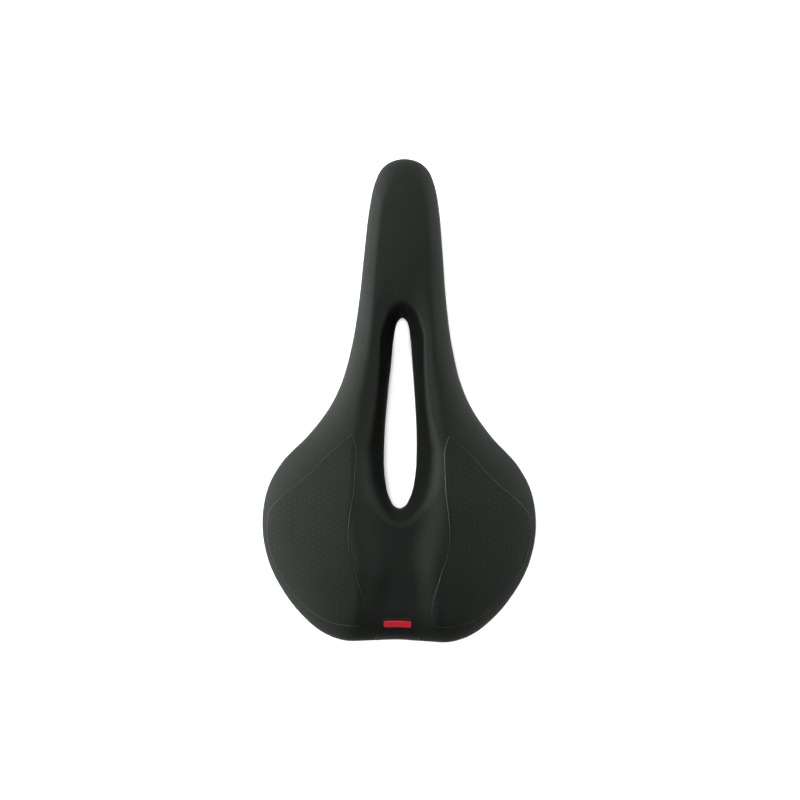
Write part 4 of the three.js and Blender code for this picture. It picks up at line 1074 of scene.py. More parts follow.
def shell_top_path(cut, margin):
    """The top of the shell moved out by a margin: up its inner edge, across, over the bend, where distance
    and height follow a quarter turn, and down the wall to the rim.
    """
    body, f = cut.body, cut.body.form
    n = len(cut.span)
    inner = body.shell_inner - margin
    start = np.full((n, 1), body.shell_inner + f.lip_foam)
    end = (cut.span - body.shell_inset - f.shell_bend)[:, None]
    middle = start + (end - start) * np.linspace(0, 1, SHELL_ROWS)
    angle = np.linspace(0, np.pi / 2, SHELL_BEND_ROWS)[1:]
    radius = f.shell_bend + margin
    bend = cut.span[:, None] - body.shell_inset - f.shell_bend + radius * np.sin(angle)
    wall = (cut.span - body.shell_inset + margin)[:, None]
    plan = cut.along(np.concatenate([np.full((n, 2), inner), middle, bend, wall], axis=1))
    bend_height = radius * np.cos(angle) - f.shell_bend
    offset = np.concatenate([[-f.shell, margin], np.full(SHELL_ROWS, margin), bend_height, [0]])
    z = body.shell_under(plan) + f.shell + offset
    z[:, -1] = cut.rim
    return with_height(plan, z)


def pleats(cut, turn):
    """Gathers of the turned-in edge where the outline bends: short waves that fade on the straight sides."""
    at = cut.outer[:, 1] / cut.body.form.length
    nose_start, nose_fade = pleat_nose_shares
    tail_start, tail_fade = pleat_tail_shares
    at_nose = smooth_step((at - nose_start) / nose_fade)
    at_tail = smooth_step((tail_start - at) / tail_fade)
    swell = 1 + PLEAT_SWELL_SHARE * np.sin(2 * np.pi * PLEAT_SWELLS * turn)
    return (at_nose + PLEAT_TAIL_WEIGHT * at_tail) * np.sin(2 * np.pi * PLEAT_WAVES * turn) * swell


class SADDLE_OT_cover(bpy.types.Operator):
    """The cover: skin over the padding, turned in under the shell's rim and in the cut-out"""

    bl_idname = "saddle.cover"
    bl_label = "Cover"

    def execute(self, context):
        scene = context.scene
        f, detail = scene.saddle_form, scene.saddle_detail
        body = Body(f)
        turn = np.arange(COVER_SECTIONS) / COVER_SECTIONS
        cut = Sections(body, turn)
        outer = skin_points(cut, skin_rows(COVER_STEPS))
        inner = inset_skin(cut, outer, f.skin)[:, ::COVER_INNER_STEP]
        fold = pleats(cut, turn)[:, None]
        hem_shares = np.linspace(1, HEM_INNER_SHARE, HEM_ROWS)
        inner_hem_plan = cut.from_inner(np.broadcast_to(f.hem * hem_shares, (len(turn), HEM_ROWS)))
        hem_low = with_height(inner_hem_plan, body.shell_under(inner_hem_plan) - f.clearance - f.skin)
        hem_top_plan = cut.from_inner(np.full((len(turn), 1), f.hem))
        hem_top = with_height(hem_top_plan, body.shell_under(hem_top_plan) - f.clearance)
        out_shares = hem_shares[::-1]
        reach = f.skirt_tuck + f.hem * out_shares[None, :] + detail.pleat_reach * fold * out_shares
        low_height = cut.outer_bottom[:, None] + detail.pleat_drop * fold * out_shares
        edge_low = with_height(cut.from_outer(reach), low_height)
        top_height = cut.outer_bottom[:, None] + f.skin + detail.pleat_lift * fold
        edge_top = with_height(cut.from_outer(reach[:, -1:]), top_height)
        profile = np.concatenate([hem_low, outer, edge_low, edge_top, inner[:, ::-1], hem_top], axis=1)
        piece = ring_piece("cover_skin", profile, cover_material(scene.saddle_finish))
        settle(piece, "cover", "cover_centre")
        return {"FINISHED"}


def panel_boundary(body):
    """The four sides of the right wing panel as smooth curves, each measured by its length."""
    size = np.array([body.form.width / 2, body.form.length])
    sides = (panel_inner_shares, panel_rear_shares, panel_side_shares, panel_front_shares)
    return [smooth_path(np.array(side) * size) for side in sides]


def edge_spaced(count, step):
    """Shares from 0 to 1 with a few close rows at both ends."""
    close = np.array(close_shares) * step
    end = CLOSE_END_SHARE * step
    return np.concatenate([close, np.linspace(end, 1 - end, count), 1 - close[::-1]])


def cell_height(place, pitch):
    """Round cells on a hexagonal net: 1 on top of a cell, falling smoothly to 0 in the groove between cells.
    """
    size = np.array([pitch * np.sqrt(3), pitch])
    first = place - size * np.round(place / size)
    second = place - size / 2
    second = second - size * np.round(second / size)
    distance = np.minimum(np.linalg.norm(first, axis=-1), np.linalg.norm(second, axis=-1)) / (pitch / 2)
    return 1 - smooth_step((distance - CELL_TOP_SHARE) / CELL_SLOPE_SHARE)


def sheet_normals(grid):
    """Normals of an open grid that runs to the right, then ahead."""
    return unit(np.cross(np.gradient(grid, axis=0), np.gradient(grid, axis=1)))


class SADDLE_OT_panels(bpy.types.Operator):
    """The two embossed wing panels and the welded lines round them"""

    bl_idname = "saddle.panels"
    bl_label = "Wing panels"

    def execute(self, context):
        scene = context.scene
        f, detail, finish = scene.saddle_form, scene.saddle_detail, scene.saddle_finish
        body = Body(f)
        inner, rear, side, front = panel_boundary(body)
        u = edge_spaced(*PANEL_ACROSS)[:, None, None]
        v = edge_spaced(*PANEL_ALONG)[None, :, None]
        across, along = u[..., 0], v[..., 0]
        low, high = rear(across[:, 0])[:, None, :], front(1 - across[:, 0])[:, None, :]
        left, right = inner(1 - along[0])[None, :, :], side(along[0])[None, :, :]
        corners = (1 - v) * ((1 - u) * low[0] + u * low[-1]) + v * ((1 - u) * high[0] + u * high[-1])
        plan = (1 - v) * low + v * high + (1 - u) * left + u * right - corners
        z, ahead = skin_above(body, plan)
        surface = with_height(plan, z)
        normal = sheet_normals(surface)
        width = np.linalg.norm(right - left, axis=-1)
        depth = np.linalg.norm(high - low, axis=-1)
        edge = np.minimum(np.minimum(across, 1 - across) * width, np.minimum(along, 1 - along) * depth)
        cells = cell_height(plan + ahead, detail.cell_pitch)
        cells = cells * smooth_step((edge - detail.cell_margin) / detail.cell_fade)
        step = detail.panel_stand + detail.panel_sink / 2
        rise = detail.panel_stand - step * rounded(1 - edge / detail.panel_edge)
        top = surface + normal * (rise - detail.cell_depth * (1 - cells))[..., None]
        bottom = surface - normal * detail.panel_sink
        piece = slab_piece("wing_panel_right", top, bottom, panel_material(finish))
        attribute = piece.data.attributes.new("cell", "FLOAT", "POINT")
        both = np.concatenate([cells.ravel(), cells.ravel()])
        attribute.data.foreach_set("value", both.astype(np.float32))
        settle(piece, "panel", "cover_wing_right")
        settle(mirrored_copy("wing_panel_left", piece), "panel", "cover_wing_left")
        shares = np.arange(LINE_STEPS) / LINE_STEPS
        loop = np.concatenate([curve(shares) for curve in (inner, rear, side, front)])
        path = with_height(loop, skin_above(body, loop)[0] + detail.line_radius * LINE_RISE_SHARE)
        rings = tube_points(path, detail.line_radius, LINE_SIDES, closed=True)
        faces = [grid_faces(len(path), LINE_SIDES, True, True)]
        line = new_mesh("wing_line_right", rings, faces, line_material(finish), SHARP_SLAB)
        settle(face_outwards(line), "panel")
        settle(mirrored_copy("wing_line_left", line), "panel")
        return {"FINISHED"}


def tail_patch(body, rows, across, half_width):
    """Points of the cover over the tail: rows of the outer face, each reaching from side to side over a half
    width that depends on the place from the tail.
    """
    turn = np.linspace(-TAIL_TURN, TAIL_TURN, TAIL_STEPS)
    cut = Sections(body, turn)
    grid = skin_points(cut, rows)
    ratio = grid[..., 0] / half_width(grid[..., 1])
    lines = [[np.interp(across, ratio[:, j], grid[:, j, k]) for k in range(3)] for j in range(len(rows))]
    return np.array(lines).transpose(2, 0, 1)


def tail_rows(body, front, back_row, count):
    """Rows of the outer face from a place on the tail to a row on the skirt."""
    cut = Sections(body, np.zeros(1))
    rows = np.linspace(2, 4, SPINE_STEPS)
    front_row = np.interp(-front, -skin_points(cut, rows)[0, :, 1], rows)
    return np.linspace(front_row, back_row, count)


def patch_piece(name, surface, stand, sink, edge, material):
    """A thin slab on the cover with a rounded edge. The grid runs to the right, then ahead."""
    normal = sheet_normals(surface)
    ends = (surface[:1], surface[-1:], surface[:, :1], surface[:, -1:])
    distance = np.min([np.linalg.norm(surface - end, axis=-1) for end in ends], axis=0)
    rise = stand - (stand + sink / 2) * rounded(1 - distance / edge)
    return slab_piece(name, surface + normal * rise[..., None], surface - normal * sink, material)


class SADDLE_OT_badge(bpy.types.Operator):
    """The bare patch on the tail, the line round it and the red bar on it"""

    bl_idname = "saddle.badge"
    bl_label = "Tail badge"

    def execute(self, context):
        scene = context.scene
        f, detail, finish = scene.saddle_form, scene.saddle_detail, scene.saddle_finish
        body = Body(f)
        places = sorted((y * detail.badge_length, x * detail.badge_width / 2) for x, y in badge_side_shares)
        half_width = smooth_table(places)
        rows = tail_rows(body, detail.badge_length, BADGE_END_ROW, BADGE_ROWS)
        even = np.linspace(-1, 1, BADGE_COLUMNS)
        across = np.sin(even * np.pi / 2) * BADGE_EASE + even * (1 - BADGE_EASE)
        surface = tail_patch(body, rows, across, half_width)[:, ::-1]
        sizes = (detail.badge_stand, detail.badge_sink, detail.badge_edge)
        badge = patch_piece("tail_patch", surface, *sizes, badge_material(finish))
        settle(badge, "badge", "tail_badge")
        rim = np.concatenate([surface[0, :-1], surface[:-1, -1], surface[-1, ::-1]])
        rings = tube_points(rim, detail.line_radius * BADGE_LINE_SHARE, LINE_SIDES)
        line = closed_sweep("tail_patch_line", rings, line_material(finish), SHARP_SLAB)
        settle(line, "badge")
        bar_start, bar_end = detail.bar_start, detail.bar_start + detail.bar_length
        fine_rows = tail_rows(body, bar_end, BAR_END_ROW, BAR_SPINE_STEPS)
        spine = skin_points(Sections(body, np.zeros(1)), fine_rows)[0, :, 1]
        bar_rows = np.interp(np.linspace(bar_start, bar_end, BAR_ROWS), spine[::-1], fine_rows[::-1])
        corner = detail.bar_corner

        def bar_half(y):
            near = np.clip(1 - np.minimum(y - bar_start, bar_end - y) / corner, 0, 1)
            rounding = corner * (1 - np.sqrt(1 - near * near))
            return detail.bar_width / 2 - rounding - BAR_TAPER * (y - bar_start)

        red = tail_patch(body, bar_rows, np.linspace(-1, 1, BAR_COLUMNS), bar_half)
        sizes = (detail.bar_stand, detail.bar_sink, detail.bar_edge)
        bar = patch_piece("tail_bar", red, *sizes, bar_material(finish))
        settle(bar, "bar", "tail_badge_bar")
        return {"FINISHED"}


def oval_share(detail, plan):
    """1 on the outline of an insert, 0 in its middle, for either side."""
    x = (np.abs(plan[..., 0]) - detail.insert_side) / (detail.insert_width / 2)
    y = (plan[..., 1] - detail.insert_place) / (detail.insert_length / 2)
    return np.hypot(x, y)


class SADDLE_OT_padding(bpy.types.Operator):
    """The foam under the cover and the gel insert over each sit bone"""

    bl_idname = "saddle.padding"
    bl_label = "Padding"

    def execute(self, context):
        scene = context.scene
        f, detail, finish = scene.saddle_form, scene.saddle_detail, scene.saddle_finish
        body = Body(f)
        cut = Sections(body, np.arange(FOAM_SECTIONS) / FOAM_SECTIONS)
        top = inset_skin(cut, skin_points(cut, skin_rows(FOAM_STEPS)), f.skin + f.clearance)
        past = (oval_share(detail, top[..., :2]) - POCKET_SHARE) / POCKET_FADE_SHARE
        top[..., 2] -= (detail.insert_depth + f.clearance) * (1 - smooth_step(past + 0.5))
        profile = np.concatenate([top, shell_top_path(cut, f.clearance)[:, ::-1]], axis=1)
        foam = ring_piece("foam_body", profile, foam_material(finish), SHARP_SLAB)
        settle(foam, "foam", "foam_pad")
        angle = 2 * np.pi * np.arange(INSERT_SIDES) / INSERT_SIDES
        flat_share = 1 - INSERT_EDGE_SHARE
        edge_share = INSERT_EDGE_SHARE * np.sin(np.linspace(0, np.pi / 2, FILLET_ROWS))[1:]
        share = np.concatenate([
            np.linspace(INSERT_MIDDLE_SHARE, flat_share, INSERT_ROWS), flat_share + edge_share
        ])
        middle = np.array([detail.insert_side, detail.insert_place])
        half = np.array([detail.insert_width / 2, detail.insert_length / 2])
        ring = np.stack([np.cos(angle), np.sin(angle)], axis=-1)
        plan = middle + share[:, None, None] * ring[None] * half
        z = skin_above(body, plan)[0] - f.skin - f.clearance
        drop = detail.insert_edge * rounded(np.clip((share - flat_share) / INSERT_EDGE_SHARE, 0, 1))
        upper = with_height(plan, z - drop[:, None])
        lower = with_height(plan[::-1], (z - detail.insert_depth + detail.insert_gap)[::-1])
        rings = np.concatenate([upper, lower])
        insert = closed_sweep("gel_insert_right", rings, gel_material(finish), SHARP_RING)
        settle(insert, "insert", "sit_insert_right")
        other = mirrored_copy("gel_insert_left", insert)
        settle(other, "insert", "sit_insert_left")
        return {"FINISHED"}


def rib_piece(body, detail, spine, material):
    """A rib under the plate: a profile with rounded lower edges carried along a level path, its height
    following the underside of the shell.
    """
    tangent = unit(np.gradient(spine, axis=0))
    side = np.stack([tangent[:, 1], -tangent[:, 0]], axis=-1)
    half, root = detail.rib_thickness / 2, detail.rib_root
    angle = np.linspace(0, np.pi, SHELL_BEND_ROWS)
    across = np.concatenate([[half], half * np.cos(angle), [-half]])
    down = np.concatenate([[-root], detail.rib_depth - half + half * np.sin(angle), [-root]])
    plan = spine[:, None, :] + side[:, None, :] * across[None, :, None]
    z = body.shell_under(spine)[:, None] - down[None, :]
    return closed_sweep("rib", with_height(plan, z), material, SHARP_SLAB)


def boss_piece(body, detail, node, material):
    """A screw boss over a screw: a round post with a fillet at the plate and a small bevel at its end."""
    low, high = frame_box(node)
    centre = (low + high) / 2
    under = float(body.shell_under(centre[:2]))
    radius, fillet, edge = detail.boss_radius, detail.boss_fillet, detail.boss_edge
    foot = [
        (radius + fillet * (1 - np.sin(a)), under - fillet * (1 - np.cos(a)) + detail.boss_root)
        for a in np.linspace(0, np.pi / 2, FILLET_ROWS)
    ]
    end = under - detail.boss_depth
    rings = turned_points(foot + [(radius, end + edge), (radius - edge, end)], TUBE_SIDES, centre)
    return closed_sweep("boss", rings.transpose(1, 0, 2), material, SHARP_BLOCK)


def cradle_piece(body, detail, material):
    """The block over the nose clip: a bevel below, straight sides and a flare at the plate."""
    low, high = frame_box("nose_clip")
    centre = ((low + high) / 2)[:2]
    half = ((high - low) / 2)[:2] + detail.cradle_margin
    corner, edge, flare = detail.cradle_corner, detail.cradle_edge, detail.cradle_flare
    outline = rounded_block(centre, half, corner)
    slim = rounded_block(centre, half - edge, corner - edge)
    wide = rounded_block(centre, half + flare, corner + flare)
    bottom = high[2] + edge
    levels = [
        with_height(slim, bottom),
        with_height(outline, bottom + edge),
        with_height(outline, body.shell_under(outline) - flare),
        with_height(wide, body.shell_under(wide) + edge),
    ]
    return closed_sweep("cradle", np.stack(levels), material, SHARP_BLOCK)


def rounded_block(centre, half, corner):
    """The outline of a block with rounded corners, seen from above."""
    quarters = [(quarter + np.linspace(0, 1, CORNER_STEPS)) * np.pi / 2 for quarter in range(4)]
    angle = np.concatenate(quarters)
    sign = np.repeat(np.array([[1, 1], [-1, 1], [-1, -1], [1, -1]]), CORNER_STEPS, axis=0)
    turned = np.stack([np.cos(angle), np.sin(angle)], axis=-1)
    return np.array(centre) + sign * (np.array(half) - corner) + corner * turned


class SADDLE_OT_shell(bpy.types.Operator):
    """The moulded shell: plate, wall and flange, ribs, screw bosses and the cradle over the nose clip"""

    bl_idname = "saddle.shell"
    bl_label = "Shell"

    def execute(self, context):
        scene = context.scene
        f, detail, finish = scene.saddle_form, scene.saddle_detail, scene.saddle_finish
        body = Body(f)
        material = shell_material(finish)
        cut = Sections(body, np.arange(SHELL_SECTIONS) / SHELL_SECTIONS)
        n = len(cut.span)
        top = shell_top_path(cut, 0)
        wall_inset, fillet = body.shell_inset + f.shell_wall, detail.wall_fillet
        flange = cut.from_outer(np.full((n, 1), body.shell_inset + f.flange_width))
        flange_top = (cut.rim + f.flange_height)[:, None]
        wall = cut.from_outer(np.full((n, 1), wall_inset))
        wall_share = np.linspace(0, 1, FILLET_ROWS)[1:]
        wall_height = flange_top + (body.shell_under(wall) - fillet - flange_top) * wall_share
        angle = np.linspace(0, np.pi / 2, FILLET_ROWS)[1:]
        bend = cut.from_outer(np.full((n, 1), wall_inset) + fillet * (1 - np.cos(angle)))
        bend_height = body.shell_under(bend) - fillet * (1 - np.sin(angle))
        start = np.full((n, 1), body.shell_inner + f.lip_foam)
        end = (cut.span - wall_inset - 2 * fillet)[:, None]
        middle = cut.along(end + (start - end) * np.linspace(0, 1, UNDERSIDE_ROWS))
        walls = np.repeat(wall, len(wall_share), axis=1)
        profile = np.concatenate([
            top, with_height(flange, cut.rim[:, None]), with_height(flange, flange_top),
            with_height(wall, flange_top), with_height(walls, wall_height), with_height(bend, bend_height),
            with_height(middle, body.shell_under(middle)),
        ], axis=1)
        plate = ring_piece("shell_plate", profile, material)
        rear = frame_box("rear_bracket_right")[1][1] + 3 * detail.rib_thickness
        front = f.cutout_start + RIB_END_SHARE * f.cutout_length
        beside = f.cutout_width / 2 + f.hem + detail.trim_rim + 2 * detail.rib_thickness
        runs = [((side * beside, rear), (side * beside, front)) for side in (-1, 1)]
        trim_edge = cut.from_inner(np.full((n, 1), f.hem + 2 * f.clearance + detail.trim_rim))[:, 0]
        for y in (rear, f.cutout_start - detail.rib_thickness):
            half = body.half_width(y) - body.shell_inset - f.shell_wall / 2
            gap = abs(trim_edge[np.argmin(np.abs(trim_edge[:, 1] - y)), 0])
            runs += [((-half, y), (-gap, y)), ((gap, y), (half, y))]
        ribs = [rib_piece(body, detail, np.linspace(*run, RIB_STEPS), material) for run in runs]
        nodes = [f"rear_screw_{place}_{side}" for place in ("inner", "outer") for side in ("right", "left")]
        bosses = [boss_piece(body, detail, node, material) for node in nodes]
        cradle = cradle_piece(body, detail, material)
        shell = joined("shell_body", [plate, *ribs, *bosses, cradle])
        settle(shell, "shell", "base_shell")
        return {"FINISHED"}


def frame_box(node):
    """The lowest and highest corner of a solid, with y measured from the tail."""
    ahead = np.array([0, bpy.context.scene.saddle_form.length / 2, 0])
    low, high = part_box(node)
    return np.array(low) + ahead, np.array(high) + ahead


class SADDLE_OT_trim(bpy.types.Operator):
    """The ring clipped in under the cut-out"""

    bl_idname = "saddle.trim"
    bl_label = "Cut-out trim"

    def execute(self, context):
        scene = context.scene
        f, detail = scene.saddle_form, scene.saddle_detail
        cut = Sections(Body(f), np.arange(TRIM_SECTIONS) / TRIM_SECTIONS)
        inset, lip = detail.trim_inset, detail.trim_thickness
        low = 2 * f.clearance + f.skin
        step = f.hem + f.clearance
        rim = step + detail.trim_rim
        slope_out, slope_down = TRIM_SLOPE_SHARES
        places = [
            (inset, low + lip - detail.trim_root), (inset, low), (step, low), (step, f.clearance),
            (rim, f.clearance), (rim, low), (step + detail.trim_rim * slope_out, low + lip * slope_down),
            (step, low + lip), (inset + detail.trim_edge, low + lip),
        ]
        distance, down = np.array(places).T
        plan = cut.from_inner(np.broadcast_to(distance, (len(cut.span), len(places))))
        z = cut.body.shell_under(plan) - down
        piece = ring_piece("trim_ring", with_height(plan, z), trim_material(scene.saddle_finish))
        settle(piece, "trim", "cutout_trim")
        return {"FINISHED"}


def bent_path(corners):
    """A path of straight runs joined by round bends: corners are (place, bend radius)."""
    places = [np.array(place, dtype=float) for place, _ in corners]
    points = [places[0][None]]
    for i in range(1, len(places) - 1):
        into = unit(places[i] - places[i - 1])
        out = unit(places[i + 1] - places[i])
        turn = np.arccos(np.clip(into @ out, -1, 1))
        bend = corners[i][1]
        inward = unit(out - into * np.cos(turn))
        start = places[i] - into * bend * np.tan(turn / 2)
        angle = (turn * np.linspace(0, 1, PATH_STEPS))[:, None]
        points.append(start + into * bend * np.sin(angle) + inward * bend * (1 - np.cos(angle)))
    points.append(places[-1][None])
    return np.concatenate(points)


def rail_corners(body, rail):
    """The rail's corners from the right rear end to the nose and back on the left, as in the solids."""
    f = body.form
    radius = rail.diameter / 2
    nose_z = float(body.shell_under(np.array([0, rail.nose]))) - f.clearance - radius
    under_end = float(body.shell_under(np.array([rail.end_spread, rail.end])))
    end_z = under_end - rail.socket_roof - f.clearance - radius
    half, nose_half = rail.spacing / 2, rail.nose_spacing / 2
    right = [
        ((rail.end_spread, rail.end, end_z), 0),
        ((rail.end_spread - rail.end_turn, rail.end + rail.end_run, end_z - rail.end_rise), rail.bend),
        ((half, rail.clamp_start, radius), rail.bend),
        ((half, rail.clamp_end, radius), rail.bend),
        ((nose_half, rail.nose - rail.nose_run, nose_z), rail.bend),
        ((nose_half, rail.nose, nose_z), nose_half * NOSE_BEND_SHARE),
    ]
    left = [((-place[0], place[1], place[2]), bend) for place, bend in reversed(right)]
    return right + left


class SADDLE_OT_rail(bpy.types.Operator):
    """The bent rail with its position marks"""

    bl_idname = "saddle.rail"
    bl_label = "Rail"

    def execute(self, context):
        scene = context.scene
        rail, finish = scene.saddle_rail, scene.saddle_finish
        body = Body(scene.saddle_form)
        radius = rail.diameter / 2
        path = bent_path(rail_corners(body, rail))
        ends = [path[0] + (path[1] - path[0]) * share for share in RAIL_END_SHARES]
        other = [path[-1] + (path[-2] - path[-1]) * share for share in reversed(RAIL_END_SHARES)]
        path = np.concatenate([ends, path[1:-1], other])
        radii = np.full(len(path), radius)
        for row, share in enumerate(RAIL_END_RADII):
            radii[[row, -1 - row]] = radius * share
        rings = tube_points(path, radii, TUBE_SIDES)
        piece = closed_sweep("rail_tube", rings, rail_material(finish), SHARP_SLAB)
        settle(piece, "rail", "rail")
        marks = []
        material = mark_material(finish)
        first, last = rail.clamp_start + rail.mark_first, rail.clamp_end - rail.mark_last
        for x in (-rail.spacing / 2, rail.spacing / 2):
            for y in np.arange(first, last, rail.mark_spacing):
                line = np.array([(x, y, radius), (x, y + rail.mark_width, radius)])
                rings = tube_points(line, radius + rail.mark_stand, TUBE_SIDES)
                marks.append(closed_sweep("mark", rings, material, SHARP_SLAB))
        settle(joined("rail_marks", marks), "rail")
        return {"FINISHED"}


def dressed_copy(node, name, rounding, material, slot):
    """A smooth copy of a solid: doubles merged, flat fields joined, and every moulded edge rounded."""
    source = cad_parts[node]
    work = bmesh.new()
    work.from_mesh(source.data)
    bmesh.ops.remove_doubles(work, verts=work.verts, dist=MERGE_DISTANCE)
    bmesh.ops.dissolve_limit(
        work, angle_limit=np.radians(FLAT_ANGLE), verts=work.verts, edges=work.edges
    )
    mesh = bpy.data.meshes.new(name)
    work.to_mesh(mesh)
    work.free()
    mesh.materials.clear()
    mesh.materials.append(material)
    mesh.polygons.foreach_set("use_smooth", np.ones(len(mesh.polygons), dtype=bool))
    mesh.set_sharp_from_angle(angle=np.radians(SHARP_SOLID))
    piece = bpy.data.objects.new(name, mesh)
    bpy.context.scene.collection.objects.link(piece)
    if rounding:
        soften(piece, rounding)
    return settle(piece, slot, node)


class SADDLE_OT_fittings(bpy.types.Operator):
    """The two rear brackets and the clip under the nose"""

    bl_idname = "saddle.fittings"
    bl_label = "Brackets and clip"

    def execute(self, context):
        scene = context.scene
        material = bracket_material(scene.saddle_finish)
        rounding = scene.saddle_detail.edge_round
        names = {
            "rear_bracket_right": "bracket_right", "rear_bracket_left": "bracket_left", "nose_clip": "clip",
        }
        for node, name in names.items():
            dressed_copy(node, name, rounding, material, "bracket")
        return {"FINISHED"}


class SADDLE_OT_screws(bpy.types.Operator):
    """The cap screws of the brackets and of the clip"""

    bl_idname = "saddle.screws"
    bl_label = "Screws"

    def execute(self, context):
        scene = context.scene
        rail = scene.saddle_rail
        material = screw_material(scene.saddle_finish)
        angle = 2 * np.pi * np.arange(SCREW_SIDES) / SCREW_SIDES
        hexagon = rail.screw_key / np.cos((angle + np.pi / 6) % (np.pi / 3) - np.pi / 6)
        head, shank, rim = rail.screw_head_radius, rail.screw_radius, rail.screw_edge
        point_width, point_depth = KEY_POINT_SHARES
        nodes = [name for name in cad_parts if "_screw" in name]
        for node in nodes:
            low, high = frame_box(node)
            bottom, tip = low[2], high[2]
            seat = bottom + rail.screw_head_height
            profile = [
                (shank / 2, tip), (shank, tip - shank / 2), (shank, seat), (head - rim / 2, seat),
                (head, seat - rim / 2),
            ]
            profile += [
                (head - rim * (1 - np.cos(a)), bottom + rim * (1 - np.sin(a)))
                for a in np.linspace(0, np.pi / 2, FILLET_ROWS + 1)
            ]
            profile += [
                (hexagon + rail.key_edge, bottom), (hexagon, bottom + rail.key_edge_depth),
                (hexagon, bottom + rail.screw_key_depth),
                (hexagon * point_width, bottom + rail.screw_key_depth * point_depth),
            ]
            rings = turned_points(profile, SCREW_SIDES, (low + high) / 2).transpose(1, 0, 2)
            piece = closed_sweep(node.replace("_screw", "_cap_screw"), rings, material, SHARP_EDGE)
            settle(piece, "screw", node)
        return {"FINISHED"}


class SADDLE_OT_staples(bpy.types.Operator):
    """The staples that hold the turned-in edge of the cover under the rim"""

    bl_idname = "saddle.staples"
    bl_label = "Staples"

    def execute(self, context):
        scene = context.scene
        f, detail = scene.saddle_form, scene.saddle_detail
        body = Body(f)
        fine = np.linspace(0, 1, STAPLE_TURNS)
        cut = Sections(body, fine)
        inset = f.skirt_tuck + STAPLE_PLACE_SHARE * f.hem
        middle = cut.from_outer(np.full((len(fine), 1), inset))[:, 0]
        run = np.concatenate([[0], np.cumsum(np.linalg.norm(np.diff(middle, axis=0), axis=1))])
        count = int(run[-1] / detail.staple_spacing)
        staples = []
        material = screw_material(scene.saddle_finish)
        leg = [0, 0, detail.staple_leg]
        for k in range(count):
            crown = (k + 0.5) * run[-1] / count + detail.staple_width * np.array(staple_shares)
            turn = np.interp(crown, run, fine)
            here = Sections(body, turn)
            plan = here.from_outer(np.full((len(turn), 1), inset))[:, 0]
            points = with_height(plan, here.outer_bottom - detail.staple_wire * STAPLE_SINK_SHARE)
            path = np.concatenate([points[:1] + leg, points, points[-1:] + leg])
            out = here.outer_out.mean(axis=0)
            rings = tube_points(path, detail.staple_wire / 2, WIRE_SIDES, up=(*out, 0))
            staples.append(closed_sweep("staple", rings, material, SHARP_BLOCK))
        settle(joined("hem_staples", staples), "screw")
        return {"FINISHED"}


def softbox(name, azimuth, elevation, distance, width, height, power):
    """A flat area light that faces the middle of the saddle."""
    light = bpy.data.lights.new(name, "AREA")
    light.shape = "RECTANGLE"
    light.energy = power
    light.size = width
    light.size_y = height
    lamp = bpy.data.objects.new(name, light)
    bpy.context.scene.collection.objects.link(lamp)
    level = distance * np.cos(elevation)
    lamp.location = (level * np.cos(azimuth), level * np.sin(azimuth), distance * np.sin(elevation))
    lamp.rotation_euler = (-Vector(lamp.location)).to_track_quat("-Z", "Y").to_euler()
    return lamp


def pale_room(stage):
    """A world whose light changes from the horizon to overhead."""
    world = bpy.data.worlds.new("pale room")
    world.use_nodes = True
    tree = world.node_tree
    direction = add_node(tree, "ShaderNodeTexCoord").outputs["Generated"]
    height = add_node(tree, "ShaderNodeSeparateXYZ", {"Vector": direction}).outputs["Z"]
    low, high = stage.sky_low, stage.sky_high
    values = {"Value": height, "From Max": stage.sky_height, "To Min": low, "To Max": high}
    strength = add_node(tree, "ShaderNodeMapRange", values, interpolation_type="SMOOTHSTEP")
    background = tree.nodes["Background"]
    background.inputs["Color"].default_value = (1, 1, 1, 1)
    tree.links.new(strength.outputs["Result"], background.inputs["Strength"])
    return world


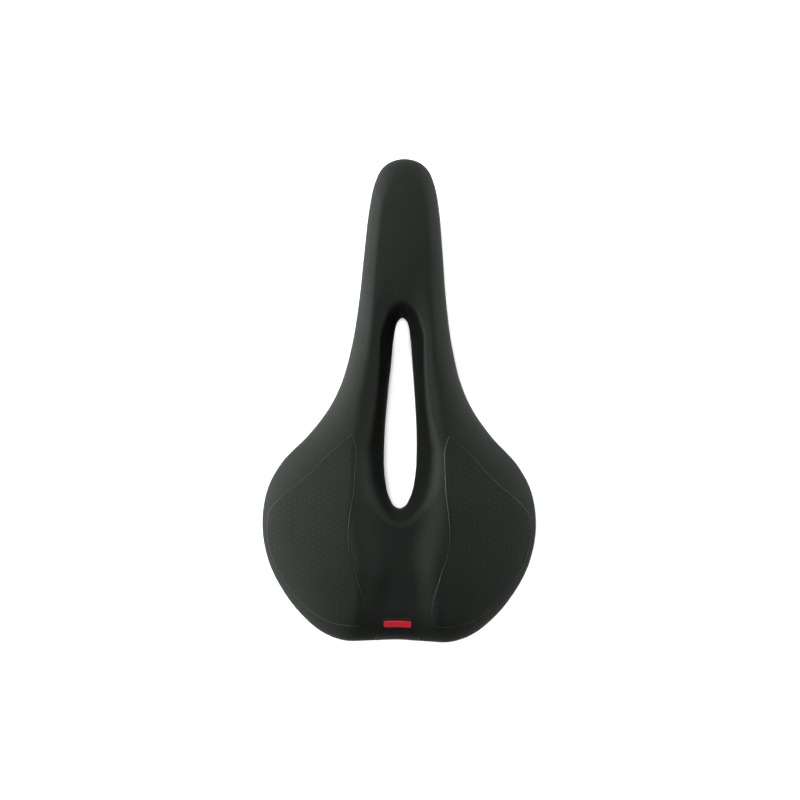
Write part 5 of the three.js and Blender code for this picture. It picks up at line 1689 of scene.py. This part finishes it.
class SADDLE_OT_stage(bpy.types.Operator):
    """The pale floor, the soft light and the camera straight above"""

    bl_idname = "saddle.stage"
    bl_label = "Stage"

    def execute(self, context):
        scene = context.scene
        stage, finish = scene.saddle_stage, scene.saddle_finish
        half = stage.floor_size / 2
        points = np.array([[-half, -half, 0], [half, -half, 0], [half, half, 0], [-half, half, 0]])
        floor = new_mesh("floor", points, [np.array([[0, 1, 2, 3]])], floor_material(finish), placed=False)
        floor.location.z = -stage.floor_gap
        far, width = stage.lamp_distance, stage.lamp_width
        for side, height in (("left", stage.lamp_height), ("right", stage.lamp_height), ("high", width)):
            azimuth, elevation, power = (
                getattr(stage, f"{side}_{value}") for value in ("azimuth", "elevation", "power")
            )
            softbox(f"{side} softbox", azimuth, elevation, far, width, height, power)
        above, size = stage.floor_lamp_height, stage.floor_lamp_size
        over = softbox("floor lamp", 0, np.pi / 2, above, size, size, stage.floor_power)
        lit = bpy.data.collections.new("lit by the floor lamp")
        lit.objects.link(floor)
        over.light_linking.receiver_collection = lit
        scene.world = pale_room(stage)
        lens = bpy.data.cameras.new("camera")
        lens.lens = stage.lens
        lens.sensor_width = stage.sensor
        camera = bpy.data.objects.new("camera", lens)
        scene.collection.objects.link(camera)
        camera.location = (stage.camera_aside, stage.camera_ahead, stage.camera_height + stage.camera_level)
        camera.rotation_euler = (0, 0, stage.camera_roll)
        scene.camera = camera
        scene.view_settings.view_transform = "Standard"
        return {"FINISHED"}


class SADDLE_PT_panel(bpy.types.Panel):
    """The steps of the saddle in the sidebar"""

    bl_idname = "SADDLE_PT_panel"
    bl_label = "Bicycle saddle"
    bl_space_type = "VIEW_3D"
    bl_region_type = "UI"
    bl_category = "Saddle"

    def draw(self, context):
        layout = self.layout
        for step in steps:
            layout.operator(step.bl_idname)
        for name in groups:
            group = getattr(context.scene, name)
            layout.label(text=groups[name].__doc__)
            for value in group.bl_rna.properties.keys():
                if value not in ("rna_type", "name"):
                    layout.prop(group, value)


steps = (
    SADDLE_OT_stage, SADDLE_OT_cover, SADDLE_OT_panels, SADDLE_OT_badge, SADDLE_OT_padding, SADDLE_OT_shell,
    SADDLE_OT_trim, SADDLE_OT_rail, SADDLE_OT_fittings, SADDLE_OT_screws, SADDLE_OT_staples,
)
groups = {
    "saddle_form": SaddleForm, "saddle_detail": SaddleDetail, "saddle_rail": SaddleRail,
    "saddle_finish": SaddleFinish, "saddle_stage": SaddleStage,
}


def register():
    for group in (*groups.values(), *steps, SADDLE_PT_panel):
        bpy.utils.register_class(group)
    for name, group in groups.items():
        setattr(bpy.types.Scene, name, PointerProperty(type=group))


def unregister():
    for name in groups:
        delattr(bpy.types.Scene, name)
    for group in (SADDLE_PT_panel, *reversed(steps), *reversed(groups.values())):
        bpy.utils.unregister_class(group)


def main():
    register()
    for step in steps:
        getattr(bpy.ops.saddle, step.bl_idname.split(".")[1])()


if __name__ == "__main__":
    main()
